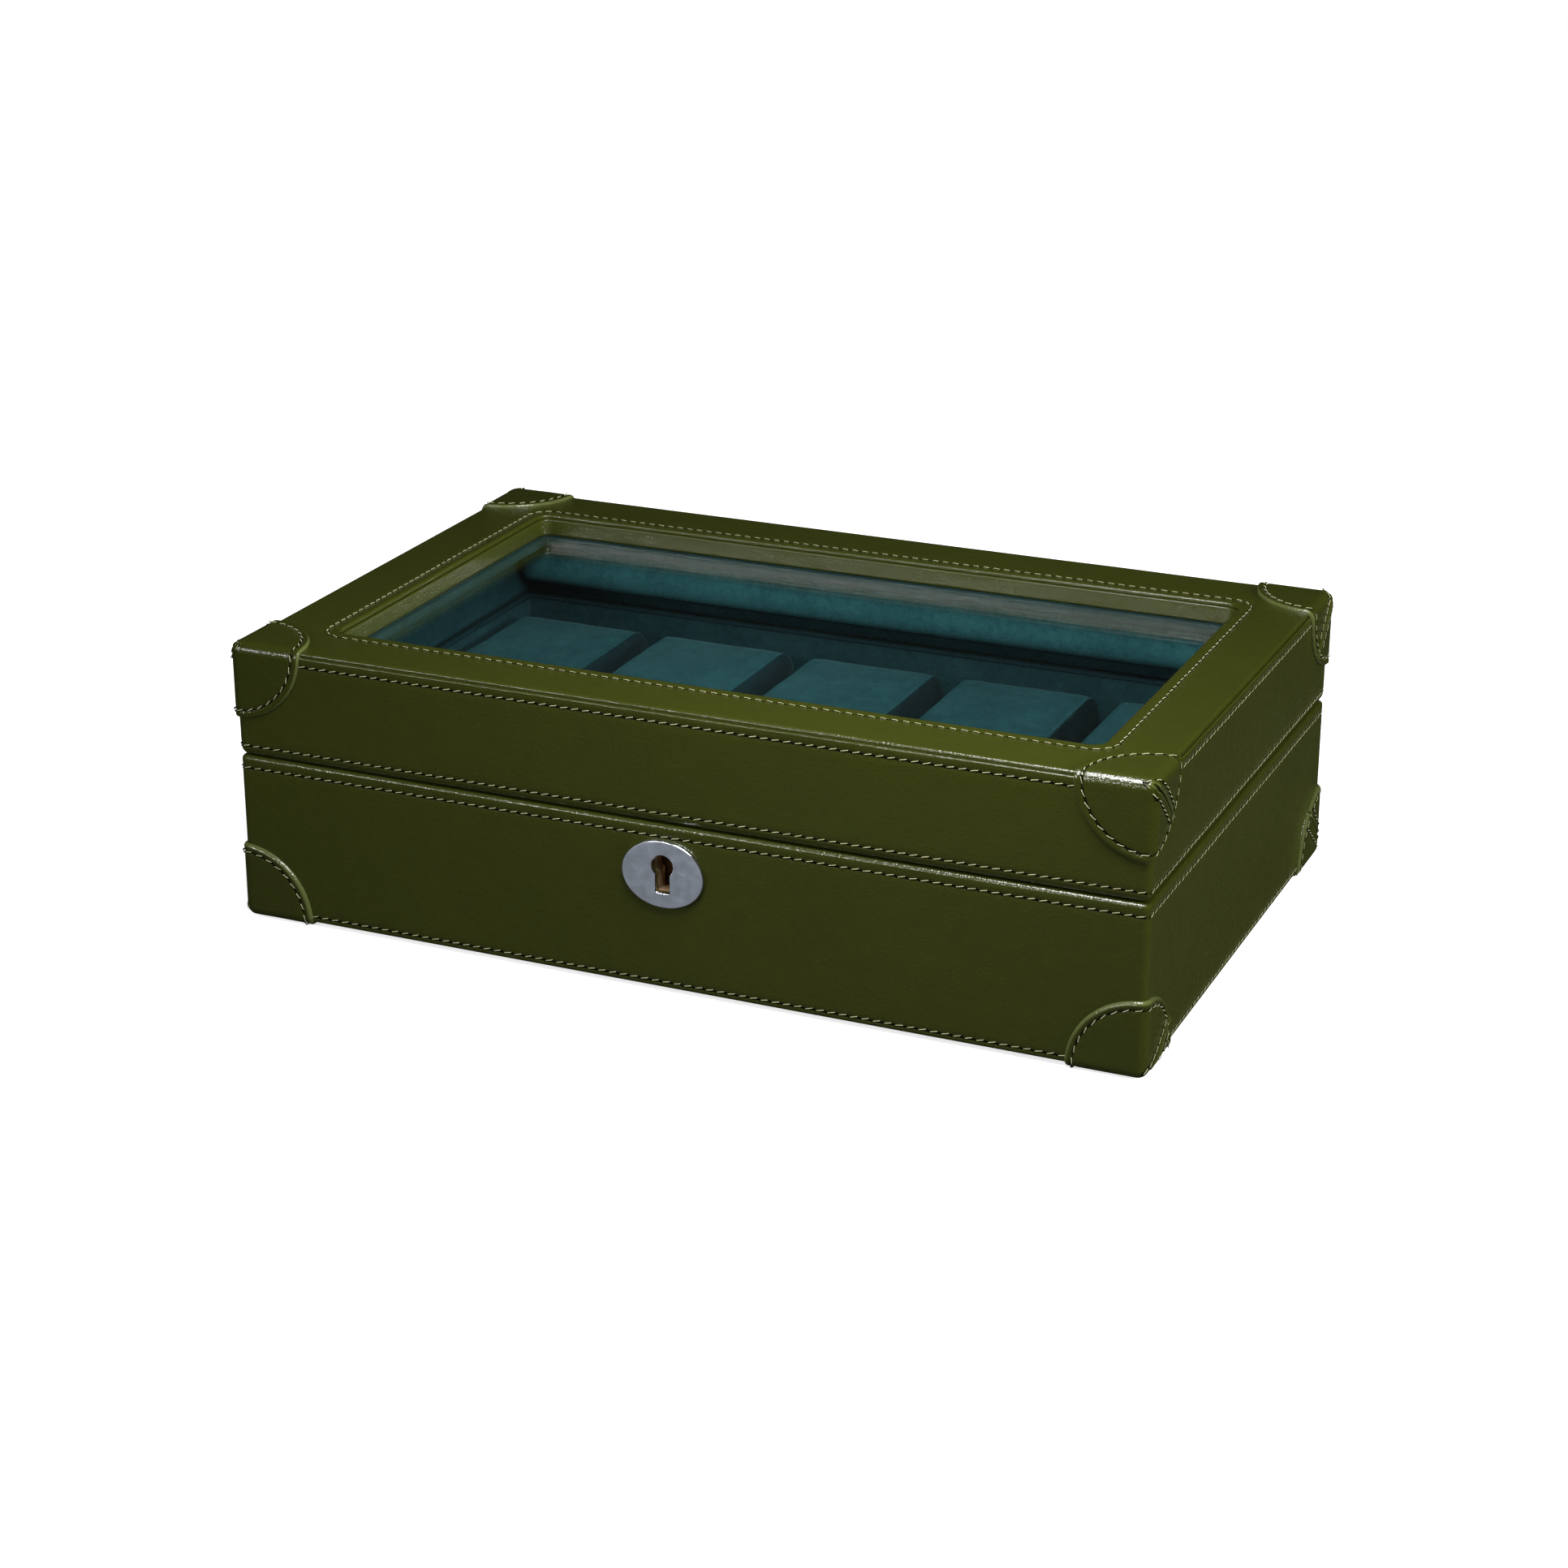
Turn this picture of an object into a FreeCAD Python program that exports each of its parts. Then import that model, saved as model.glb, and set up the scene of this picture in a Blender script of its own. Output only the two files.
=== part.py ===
import FreeCAD, Part
import os
import Sketcher

# A leather-covered watch box: a base with ten cushions and a deep hinged lid with a window.
# Millimetres, +Z up, the front faces -Y, the origin lies under the middle of the box.

V = FreeCAD.Vector
doc = FreeCAD.newDocument("watch_box")
sheet = doc.addObject("Spreadsheet::Sheet", "sizes")

CELLS = [
    ("box_length", 330.0),
    ("box_depth", 206.2),
    ("base_height", 59.2),
    ("seam_gap", 0.4),
    ("lid_height", 40.1),
    ("leather_thickness", 1.0),
    ("lining_thickness", 1.0),
    ("base_board", 10.0),
    ("lid_board", 8.2),
    ("floor_board", 6.0),
    ("cloth_thickness", 0.8),
    ("cloth_border", 16.0),
    ("turned_leather", 1.5),
    ("body_corner", 1.8),
    ("base_rim_curl", 1.6),
    ("lid_edge_curl", 2.4),
    ("foot_edge", 1.8),
    ("inner_edge", 0.9),
    ("panel_thickness", 2.3),
    ("panel_board", 1.3),
    ("panel_inset", 1.0),
    ("panel_edge", 0.9),
    ("side_rim_drop", 1.5),
    ("side_rim_edge", 0.45),
    ("frame_width", 25.6),
    ("frame_corner", 5.0),
    ("jamb_drop", 1.6),
    ("glass_depth", 8.0),
    ("glass_thickness", 3.0),
    ("glass_overlap", 4.0),
    ("glass_fit", 0.2),
    ("retainer_height", 2.4),
    ("retainer_reveal", 0.8),
    ("guard_thickness", 1.2),
    ("guard_reach", 26.3),
    ("guard_edge", 2.6),
    ("divider_thickness", 4.0),
    ("divider_height", 36.0),
    ("divider_fit", 0.1),
    ("cushion_width", 49.6),
    ("cushion_depth", 79.0),
    ("cushion_height", 47.5),
    ("cushion_corner", 15.0),
    ("cushion_draw", 0.7),
    ("cushion_seam", 1.8),
    ("roll_depth", 11.0),
    ("roll_height", 18.2),
    ("roll_corner", 5.0),
    ("roll_clear", 0.3),
    ("roll_end_gap", 1.5),
    ("plate_middle", 2.1),
    ("plate_up", 43.2),
    ("plate_width", 30.0),
    ("plate_height", 24.0),
    ("plate_thickness", 1.5),
    ("plate_edge", 0.45),
    ("keyhole_up", 2.9),
    ("keyhole_radius", 3.8),
    ("slot_width", 4.9),
    ("slot_drop", 6.5),
    ("keyhole_margin", 0.25),
    ("lock_width", 40.0),
    ("lock_setback", 5.1),
    ("lock_depth", 4.8),
    ("lock_wall", 0.8),
    ("lock_cap", 0.9),
    ("lock_height", 26.4),
    ("lock_fit", 0.15),
    ("selvedge_ear", 5.0),
    ("selvedge_lap", 0.4),
    ("selvedge_depth", 5.4),
    ("bolt_thickness", 1.8),
    ("bolt_bar", 2.4),
    ("bolt_left", 13.0),
    ("bolt_right", 15.0),
    ("talon_width", 3.0),
    ("talon_drop", 3.0),
    ("ledge_height", 0.8),
    ("ledge_gap", 0.3),
    ("ledge_left", 9.0),
    ("ledge_right", 5.0),
    ("hook_thickness", 2.0),
    ("hook_length", 6.6),
    ("hook_nose", 2.0),
    ("hook_left", 14.0),
    ("hook_spacing", 15.0),
    ("hook_overhang", 2.5),
    ("hook_clear", 0.7),
    ("finger_gap", 0.6),
    ("finger_width", 3.0),
    ("finger_reach", 11.0),
    ("finger_nose", 3.0),
    ("finger_drop", 0.8),
    ("strike_width", 44.0),
    ("strike_depth", 4.3),
    ("hinge_inset", 70.0),
    ("hinge_length", 40.0),
    ("hinge_offset", 2.3),
    ("leaf_width", 8.0),
    ("knuckle_radius", 2.0),
    ("knuckle_gap", 0.3),
    ("pin_radius", 1.0),
    ("pin_fit", 0.05),
    ("leaf_fit", 0.1),
    ("screw_radius", 0.9),
    ("screw_length", 7.0),
    ("screw_head", 1.7),
    ("screw_pitch", 14.0),
    ("screw_fit", 0.05),
]
for row, (alias, number) in enumerate(CELLS, 1):
    sheet.set(f"A{row}", alias)
    sheet.set(f"B{row}", str(number))
    sheet.setAlias(f"B{row}", alias)
doc.recompute()


def size(alias):
    return float(sheet.get(alias))


# Heights and half sizes that several parts share, as expressions over the sheet
HALF_X = "sizes.box_length / 2"
HALF_Y = "sizes.box_depth / 2"
BASE_LOW = "sizes.guard_thickness"
BASE_HIGH = f"({BASE_LOW} + sizes.base_height)"
LID_LOW = f"({BASE_HIGH} + sizes.seam_gap)"
LID_HIGH = f"({LID_LOW} + sizes.lid_height)"
CORE_LOW = f"({BASE_LOW} + sizes.leather_thickness)"
CORE_HIGH = f"({BASE_HIGH} - sizes.leather_thickness)"
FLOOR = f"({CORE_LOW} + sizes.floor_board)"
LINED_FLOOR = f"({FLOOR} + sizes.lining_thickness)"
BASE_IN = "(sizes.leather_thickness + sizes.base_board)"
BASE_LINED = f"({BASE_IN} + sizes.lining_thickness)"
LID_IN = "(sizes.leather_thickness + sizes.lid_board)"
LID_LINED = f"({LID_IN} + sizes.lining_thickness)"
FLAP_LOW = f"({BASE_HIGH} - sizes.turned_leather)"
LID_CORE_LOW = f"({LID_LOW} + sizes.leather_thickness)"
LID_FLAP_HIGH = f"({LID_LOW} + sizes.turned_leather)"
PANEL_LOW = f"({LID_HIGH} - sizes.panel_thickness)"
SIDE_RIM = f"({LID_HIGH} - sizes.side_rim_drop)"
GLASS_HIGH = f"({LID_HIGH} - sizes.glass_depth)"
GLASS_LOW = f"({GLASS_HIGH} - sizes.glass_thickness)"
RETAINER_LOW = f"({GLASS_LOW} - sizes.retainer_height)"
LID_ROOF = f"({RETAINER_LOW} - sizes.lining_thickness)"
JAMB_IN = "(sizes.frame_width + sizes.leather_thickness)"
GLASS_IN = f"({JAMB_IN} - sizes.glass_overlap - sizes.leather_thickness)"
RETAINER_IN = f"({JAMB_IN} + sizes.retainer_reveal)"


def box(label, left, right, front, back, low, high):
    """A plain block between six coordinates."""
    piece = doc.addObject("Part::Box", "block")
    piece.Label = label
    piece.setExpression("Length", f"({right}) - ({left})")
    piece.setExpression("Width", f"({back}) - ({front})")
    piece.setExpression("Height", f"({high}) - ({low})")
    piece.setExpression("Placement.Base.x", left)
    piece.setExpression("Placement.Base.y", front)
    piece.setExpression("Placement.Base.z", low)
    return piece


def inset_box(label, inset, low, high):
    """A block whose four sides lie the given distance inside the faces of the box."""
    half_x = f"({HALF_X} - ({inset}))"
    half_y = f"({HALF_Y} - ({inset}))"
    return box(label, f"-{half_x}", half_x, f"-{half_y}", half_y, low, high)


def cylinder(label, radius, length, middle, along):
    """A round bar that starts at a point and runs along x, y or z."""
    piece = doc.addObject("Part::Cylinder", "bar")
    piece.Label = label
    turns = {"x": (V(0, 1, 0), 90), "y": (V(1, 0, 0), -90), "z": (V(0, 0, 1), 0)}
    axis, angle = turns[along]
    piece.Placement = FreeCAD.Placement(V(0, 0, 0), FreeCAD.Rotation(axis, angle))
    piece.setExpression("Radius", radius)
    piece.setExpression("Height", length)
    for letter, place in zip("xyz", middle):
        piece.setExpression(f"Placement.Base.{letter}", place)
    return piece


def join(label, pieces):
    """Several shapes as one."""
    piece = doc.addObject("Part::MultiFuse", "joined")
    piece.Label = label
    piece.Shapes = pieces
    return piece


def cut(label, base, tools):
    """A shape with others taken away."""
    piece = doc.addObject("Part::Cut", "cut")
    piece.Label = label
    piece.Base = base
    piece.Tool = tools[0] if len(tools) == 1 else join(label + " tools", tools)
    return piece


def upright(edge):
    return edge.BoundBox.XLength < 1e-4 and edge.BoundBox.YLength < 1e-4


def level(height):
    def test(edge):
        bounds = edge.BoundBox
        return abs(bounds.ZMin - height) < 1e-3 and abs(bounds.ZMax - height) < 1e-3
    return test


def inside(test, half_x, half_y):
    """Narrows a test to edges within a rectangle round the middle."""
    def narrowed(edge):
        point = edge.CenterOfMass
        return test(edge) and abs(point.x) < half_x and abs(point.y) < half_y
    return narrowed


def rounded(label, source, rules):
    """Rounds the edges that each rule picks by its radius."""
    doc.recompute()
    piece = doc.addObject("Part::Fillet", "rounded")
    piece.Label = label
    piece.Base = source
    edges = []
    for number, edge in enumerate(source.Shape.Edges, 1):
        for test, radius in rules:
            if test(edge):
                edges.append((number, radius, radius))
                break
    piece.Edges = edges
    doc.recompute()
    return piece


def top_of(source):
    doc.recompute()
    return source.Shape.BoundBox.ZMax


def bottom_of(source):
    doc.recompute()
    return source.Shape.BoundBox.ZMin


def named(piece, node):
    """Gives a finished shape the name of its node."""
    piece.Label = node
    nodes.append(piece)
    return piece


nodes = []
corner = size("body_corner")
core_corner = corner - size("leather_thickness")

# Openings through leather and board: hinge leaves, lock and keyhole
PLATE_X = "-sizes.plate_middle"
KEY_UP = "(sizes.plate_up + sizes.keyhole_up)"


def keyhole(label, margin, near, far):
    """A round hole with a slot below it, through everything between two depths at the front."""
    hole = cylinder(
        label + " hole",
        f"sizes.keyhole_radius + {margin}",
        f"({far}) - ({near})",
        (PLATE_X, near, KEY_UP),
        "y",
    )
    half = f"(sizes.slot_width / 2 + {margin})"
    slot = box(
        label + " slot",
        f"{PLATE_X} - {half}",
        f"{PLATE_X} + {half}",
        near,
        far,
        f"sizes.plate_up - sizes.slot_drop - {margin}",
        KEY_UP,
    )
    return join(label, [hole, slot])


FRONT = f"(-{HALF_Y})"
LOCK_FRONT = f"({FRONT} + sizes.lock_setback)"
LOCK_BACK = f"({LOCK_FRONT} + sizes.lock_depth)"
CAP_BACK = f"({LOCK_BACK} + sizes.lock_cap)"
wall_keyhole = keyhole(
    "wall keyhole",
    "sizes.keyhole_margin",
    f"{FRONT} - sizes.plate_thickness - 1",
    f"{LOCK_FRONT} + sizes.lock_wall / 2",
)

LOCK_LOW = f"({CORE_HIGH} - sizes.lock_height)"
mortise = box(
    "lock mortise",
    f"{PLATE_X} - sizes.lock_width / 2 - sizes.lock_fit",
    f"{PLATE_X} + sizes.lock_width / 2 + sizes.lock_fit",
    f"{LOCK_FRONT} - sizes.lock_fit",
    f"{CAP_BACK} + 5",
    f"{LOCK_LOW} - sizes.lock_fit",
    f"{BASE_HIGH} - sizes.leather_thickness / 2",
)
SELVEDGE_FRONT = f"({LOCK_FRONT} - sizes.selvedge_lap)"
SELVEDGE_HALF = "(sizes.lock_width / 2 + sizes.selvedge_ear)"
selvedge_seat = box(
    "selvedge seat",
    f"{PLATE_X} - {SELVEDGE_HALF} - sizes.leaf_fit",
    f"{PLATE_X} + {SELVEDGE_HALF} + sizes.leaf_fit",
    f"{SELVEDGE_FRONT} - sizes.leaf_fit",
    f"{SELVEDGE_FRONT} + sizes.selvedge_depth + sizes.leaf_fit",
    CORE_HIGH,
    f"{BASE_HIGH} + 1",
)
strike_seat = box(
    "strike seat",
    f"{PLATE_X} - sizes.strike_width / 2 - sizes.leaf_fit",
    f"{PLATE_X} + sizes.strike_width / 2 + sizes.leaf_fit",
    f"{SELVEDGE_FRONT} - sizes.leaf_fit",
    f"{SELVEDGE_FRONT} + sizes.strike_depth + sizes.leaf_fit",
    f"{LID_LOW} - 1",
    LID_CORE_LOW,
)

AXIS_Y = f"({HALF_Y} + sizes.hinge_offset)"
AXIS_Z = f"({BASE_HIGH} + sizes.seam_gap / 2)"
LEAF_FRONT = f"({HALF_Y} - sizes.leaf_width)"
SIDES = (("left", "-1"), ("right", "1"))
HINGE_X = f"({HALF_X} - sizes.hinge_inset)"


def hinge_seat(label, side, low, high):
    middle = f"{side} * {HINGE_X}"
    half = "(sizes.hinge_length / 2 + sizes.leaf_fit)"
    return box(
        label,
        f"{middle} - {half}",
        f"{middle} + {half}",
        f"{LEAF_FRONT} - sizes.leaf_fit",
        f"{HALF_Y} + 1",
        low,
        high,
    )


base_seats = [
    hinge_seat(f"base hinge seat {name}", side, CORE_HIGH, f"{BASE_HIGH} + 1") for name, side in SIDES
]
lid_seats = [
    hinge_seat(f"lid hinge seat {name}", side, f"{LID_LOW} - 1", LID_CORE_LOW) for name, side in SIDES
]


def screw_set(label, places, head_level, downward):
    """Countersunk screws as one group; each place is an x and a y."""
    screws = []
    for number, (place_x, place_y) in enumerate(places, 1):
        shank_start = f"({head_level}) - sizes.screw_length" if downward else head_level
        shank = cylinder(
            f"{label} shank {number}", "sizes.screw_radius", "sizes.screw_length",
            (place_x, place_y, shank_start), "z",
        )
        head = doc.addObject("Part::Cone", "head")
        head.Label = f"{label} head {number}"
        head.setExpression("Height", "sizes.leather_thickness")
        wide, narrow = ("Radius2", "Radius1") if downward else ("Radius1", "Radius2")
        head.setExpression(wide, "sizes.screw_head")
        head.setExpression(narrow, "sizes.screw_radius")
        head_start = f"({head_level}) - sizes.leather_thickness" if downward else head_level
        head.setExpression("Placement.Base.x", place_x)
        head.setExpression("Placement.Base.y", place_y)
        head.setExpression("Placement.Base.z", head_start)
        screws.append(join(f"{label} {number}", [shank, head]))
    return screws


def screw_holes(label, places, head_level, downward):
    """Round holes a little wider than the shanks, as deep as the screws."""
    holes = []
    for number, (place_x, place_y) in enumerate(places, 1):
        start = f"({head_level}) - sizes.screw_length - 0.2" if downward else head_level
        holes.append(cylinder(
            f"{label} {number}", "sizes.screw_radius + sizes.screw_fit", "sizes.screw_length + 0.2",
            (place_x, place_y, start), "z",
        ))
    return holes


def sink_holes(label, places, head_level, downward):
    """Cone seats for the screw heads in the plates."""
    seats = []
    for number, (place_x, place_y) in enumerate(places, 1):
        seat = doc.addObject("Part::Cone", "sink")
        seat.Label = f"{label} {number}"
        seat.setExpression("Height", "sizes.leather_thickness")
        wide, narrow = ("Radius2", "Radius1") if downward else ("Radius1", "Radius2")
        seat.setExpression(wide, "sizes.screw_head + sizes.screw_fit")
        seat.setExpression(narrow, "sizes.screw_radius + sizes.screw_fit")
        start = f"({head_level}) - sizes.leather_thickness" if downward else head_level
        seat.setExpression("Placement.Base.x", place_x)
        seat.setExpression("Placement.Base.y", place_y)
        seat.setExpression("Placement.Base.z", start)
        seats.append(seat)
    return seats


SCREW_Y = f"({HALF_Y} - sizes.leaf_width / 2)"
leaf_places = {
    name: [(f"{side} * {HINGE_X} + {step} * sizes.screw_pitch", SCREW_Y) for step in (-1, 0, 1)]
    for name, side in SIDES
}
all_leaf_places = leaf_places["left"] + leaf_places["right"]
SELVEDGE_Y = f"({SELVEDGE_FRONT} + sizes.selvedge_depth / 2)"
STRIKE_Y = f"({SELVEDGE_FRONT} + sizes.strike_depth / 2)"
selvedge_places = [
    (f"{PLATE_X} + {side} * ({SELVEDGE_HALF} - sizes.selvedge_ear / 2)", SELVEDGE_Y) for side in (-1, 1)
]
strike_places = [
    (f"{PLATE_X} + {side} * (sizes.strike_width / 2 - sizes.screw_head - 1.2)", STRIKE_Y) for side in (-1, 1)
]

# The board tray of the base
core_block = rounded(
    "base core block",
    inset_box("base core", "sizes.leather_thickness", CORE_LOW, CORE_HIGH),
    [(upright, core_corner), (lambda edge: True, size("base_rim_curl") - size("leather_thickness"))],
)
core_hollow = inset_box("base core hollow", BASE_IN, FLOOR, f"{CORE_HIGH} + 5")
base_core = cut("base core tray", core_block, [core_hollow])
base_carcass = named(cut(
    "base_carcass",
    base_core,
    [mortise, wall_keyhole]
    + screw_holes("base hinge hole", all_leaf_places, BASE_HIGH, True)
    + screw_holes("selvedge hole", selvedge_places, BASE_HIGH, True),
), "base_carcass")

# The leather round the tray: over the rim, down inside by the turned width, and under the floor
base_block = inset_box("base block", "0", BASE_LOW, BASE_HIGH)
rim_height = top_of(base_block)
foot_height = bottom_of(base_block)
base_form = rounded(
    "base form",
    base_block,
    [
        (upright, corner),
        (level(rim_height), size("base_rim_curl")),
        (level(foot_height), size("foot_edge")),
    ],
)
base_hollow = inset_box("base hollow", BASE_LINED, LINED_FLOOR, f"{BASE_HIGH} + 5")
inner_x = size("box_length") / 2 - size("base_board")
inner_y = size("box_depth") / 2 - size("base_board")
base_ring = rounded(
    "base ring",
    cut("base hollowed", base_form, [base_hollow]),
    [(inside(level(rim_height), inner_x, inner_y), size("inner_edge"))],
)
lined_zone = inset_box("base lined zone", BASE_IN, FLOOR, FLAP_LOW)
under_window = inset_box("under window", "sizes.cloth_border", f"{BASE_LOW} - 1", CORE_LOW)
named(cut(
    "base_leather",
    base_ring,
    [base_core, lined_zone, under_window, wall_keyhole, selvedge_seat] + base_seats,
), "base_leather")
named(inset_box(
    "bottom_cloth", "sizes.cloth_border + sizes.leaf_fit", f"{CORE_LOW} - sizes.cloth_thickness", CORE_LOW,
), "bottom_cloth")
named(cut(
    "base_lining",
    inset_box("base lining block", BASE_IN, FLOOR, FLAP_LOW),
    [inset_box("base lining hollow", BASE_LINED, LINED_FLOOR, f"{BASE_HIGH} + 5")],
), "base_lining")

# Dividers: one long and four short boards, halved into each other
COLUMN = f"((sizes.box_length - 2 * {BASE_LINED}) / 5)"
INNER_X = f"({HALF_X} - {BASE_LINED})"
INNER_Y = f"({HALF_Y} - {BASE_LINED})"
DIVIDER_HIGH = f"({LINED_FLOOR} + sizes.divider_height)"
DIVIDER_MID = f"({LINED_FLOOR} + sizes.divider_height / 2)"
HALF_DIVIDER = "sizes.divider_thickness / 2"
halvings = []
for step in ("-1.5", "-0.5", "0.5", "1.5"):
    halvings.append(box(
        f"long divider slot {step}",
        f"{step} * {COLUMN} - {HALF_DIVIDER} - sizes.divider_fit",
        f"{step} * {COLUMN} + {HALF_DIVIDER} + sizes.divider_fit",
        "-10",
        "10",
        DIVIDER_MID,
        f"{DIVIDER_HIGH} + 5",
    ))
named(cut(
    "long_divider",
    box(
        "long divider board",
        f"-({INNER_X} - sizes.divider_fit)",
        f"{INNER_X} - sizes.divider_fit",
        f"-{HALF_DIVIDER}",
        HALF_DIVIDER,
        LINED_FLOOR,
        DIVIDER_HIGH,
    ),
    halvings,
), "long_divider")
for number, step in enumerate(("-1.5", "-0.5", "0.5", "1.5"), 1):
    board = box(
        f"cross divider board {number}",
        f"{step} * {COLUMN} - {HALF_DIVIDER}",
        f"{step} * {COLUMN} + {HALF_DIVIDER}",
        f"-({INNER_Y} - sizes.divider_fit)",
        f"{INNER_Y} - sizes.divider_fit",
        LINED_FLOOR,
        DIVIDER_HIGH,
    )
    halving = box(
        f"cross divider slot {number}",
        f"{step} * {COLUMN} - 10",
        f"{step} * {COLUMN} + 10",
        f"-({HALF_DIVIDER} + sizes.divider_fit)",
        f"{HALF_DIVIDER} + sizes.divider_fit",
        f"{LINED_FLOOR} - 5",
        DIVIDER_MID,
    )
    named(cut(f"cross_divider_{number}", board, [halving]), f"cross_divider_{number}")

# Escutcheon and lock in the front wall
oval = doc.addObject("PartDesign::Body", "oval")
oval.Label = "oval plate"


def origin_plane(body, role):
    return [feature for feature in body.Origin.OriginFeatures if feature.Role == role][0]


def sketch_on(body, role, offset=None):
    """A sketch on one of the planes of a body."""
    sketch = body.newObject("Sketcher::SketchObject", "outline")
    sketch.AttachmentSupport = [(origin_plane(body, role), "")]
    sketch.MapMode = "FlatFace"
    if offset:
        sketch.setExpression("AttachmentOffset.Base.z", offset)
    return sketch


oval_sketch = sketch_on(oval, "XZ_Plane")
oval_sketch.addGeometry(Part.Ellipse(V(0, 0, 0), size("plate_width") / 2, size("plate_height") / 2))
oval_sketch.exposeInternalGeometry(0)
oval_sketch.addConstraint(Sketcher.Constraint("Coincident", 0, 3, -1, 1))
oval_sketch.addConstraint(Sketcher.Constraint("Horizontal", 1))
wide = oval_sketch.addConstraint(Sketcher.Constraint("Distance", 1, size("plate_width")))
tall = oval_sketch.addConstraint(Sketcher.Constraint("Distance", 2, size("plate_height")))
oval_sketch.setExpression(f"Constraints[{wide}]", "sizes.plate_width")
oval_sketch.setExpression(f"Constraints[{tall}]", "sizes.plate_height")
oval_pad = oval.newObject("PartDesign::Pad", "oval_pad")
oval_pad.Profile = oval_sketch
oval_pad.setExpression("Length", "sizes.plate_thickness")
doc.recompute()
oval.setExpression("Placement.Base.x", PLATE_X)
oval.setExpression("Placement.Base.y", FRONT)
oval.setExpression("Placement.Base.z", "sizes.plate_up")
doc.recompute()
front_face = oval.Shape.BoundBox.YMin
plate_round = rounded(
    "oval plate rounded",
    oval,
    [(lambda edge: edge.BoundBox.YMax < front_face + 1e-3, size("plate_edge"))],
)
plate_keyhole = keyhole(
    "plate keyhole", "0", f"{FRONT} - sizes.plate_thickness - 1", f"{FRONT} + 1",
)
escutcheon_cut = cut("plate with keyhole", plate_round, [plate_keyhole])
doc.recompute()


def keyhole_rim(edge):
    """Front edges of the keyhole, which are narrower than half the plate and near its middle."""
    bounds = edge.BoundBox
    near = abs(bounds.Center.x + size("plate_middle")) < size("keyhole_radius") + size("plate_edge")
    small = bounds.XLength < size("plate_width") / 2 and bounds.ZLength < size("plate_height") * 2 / 3
    return near and small and bounds.YMax < front_face + 1e-3


named(rounded("escutcheon", escutcheon_cut, [(keyhole_rim, size("plate_edge"))]), "escutcheon")

case_keyhole = keyhole("case keyhole", "0", f"{LOCK_FRONT} - 1", f"{LOCK_FRONT} + sizes.lock_wall + 0.3")
case_block = box(
    "lock case block",
    f"{PLATE_X} - sizes.lock_width / 2",
    f"{PLATE_X} + sizes.lock_width / 2",
    LOCK_FRONT,
    LOCK_BACK,
    LOCK_LOW,
    CORE_HIGH,
)
case_hollow = box(
    "lock case hollow",
    f"{PLATE_X} - sizes.lock_width / 2 + sizes.lock_wall",
    f"{PLATE_X} + sizes.lock_width / 2 - sizes.lock_wall",
    f"{LOCK_FRONT} + sizes.lock_wall",
    f"{LOCK_BACK} + 1",
    f"{LOCK_LOW} + sizes.lock_wall",
    f"{CORE_HIGH} + 1",
)
HOOK_LOW = f"({LID_LOW} - sizes.hook_length)"
BAR_HIGH = f"({HOOK_LOW} - sizes.finger_gap)"
BAR_LOW = f"({BAR_HIGH} - sizes.bolt_bar)"
ledges = []
LEDGE_END = "(sizes.lock_width / 2 - sizes.lock_wall / 2)"
for name, start, end in (
    ("left", f"-{LEDGE_END}", "-sizes.ledge_left"),
    ("right", "+sizes.ledge_right", f"+{LEDGE_END}"),
):
    ledges.append(box(
        f"lock ledge {name}",
        f"{PLATE_X} {start}",
        f"{PLATE_X} {end}",
        f"{LOCK_FRONT} + sizes.lock_wall / 2",
        f"{LOCK_BACK} - sizes.ledge_gap",
        f"{BAR_LOW} - sizes.ledge_gap - sizes.ledge_height",
        f"{BAR_LOW} - sizes.ledge_gap",
    ))
named(join("lock_case", [cut("lock tray", case_block, [case_hollow, case_keyhole])] + ledges), "lock_case")
named(box(
    "lock_cap",
    f"{PLATE_X} - sizes.lock_width / 2",
    f"{PLATE_X} + sizes.lock_width / 2",
    LOCK_BACK,
    CAP_BACK,
    LOCK_LOW,
    CORE_HIGH,
), "lock_cap")

HOOK_Y = f"({LOCK_FRONT} + (sizes.lock_depth + sizes.lock_wall) / 2)"
HOOK_STARTS = (
    f"({PLATE_X} - sizes.hook_left)",
    f"({PLATE_X} - sizes.hook_left + sizes.hook_spacing)",
)
slots = []
for number, start in enumerate(HOOK_STARTS, 1):
    slots.append(box(
        f"selvedge slot {number}",
        f"{start} - sizes.hook_clear",
        f"{start} + sizes.finger_width + sizes.hook_overhang + sizes.hook_clear",
        f"{HOOK_Y} - sizes.hook_thickness / 2 - sizes.hook_clear",
        f"{HOOK_Y} + sizes.hook_thickness / 2 + sizes.hook_clear",
        f"{CORE_HIGH} - 1",
        f"{BASE_HIGH} + 1",
    ))
named(cut(
    "lock_plate",
    box(
        "selvedge",
        f"{PLATE_X} - {SELVEDGE_HALF}",
        f"{PLATE_X} + {SELVEDGE_HALF}",
        SELVEDGE_FRONT,
        f"{SELVEDGE_FRONT} + sizes.selvedge_depth",
        CORE_HIGH,
        BASE_HIGH,
    ),
    slots + sink_holes("selvedge sink", selvedge_places, BASE_HIGH, True),
), "lock_plate")
named(join("lock_screws", screw_set("lock screw", selvedge_places, BASE_HIGH, True)), "lock_screws")

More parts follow.
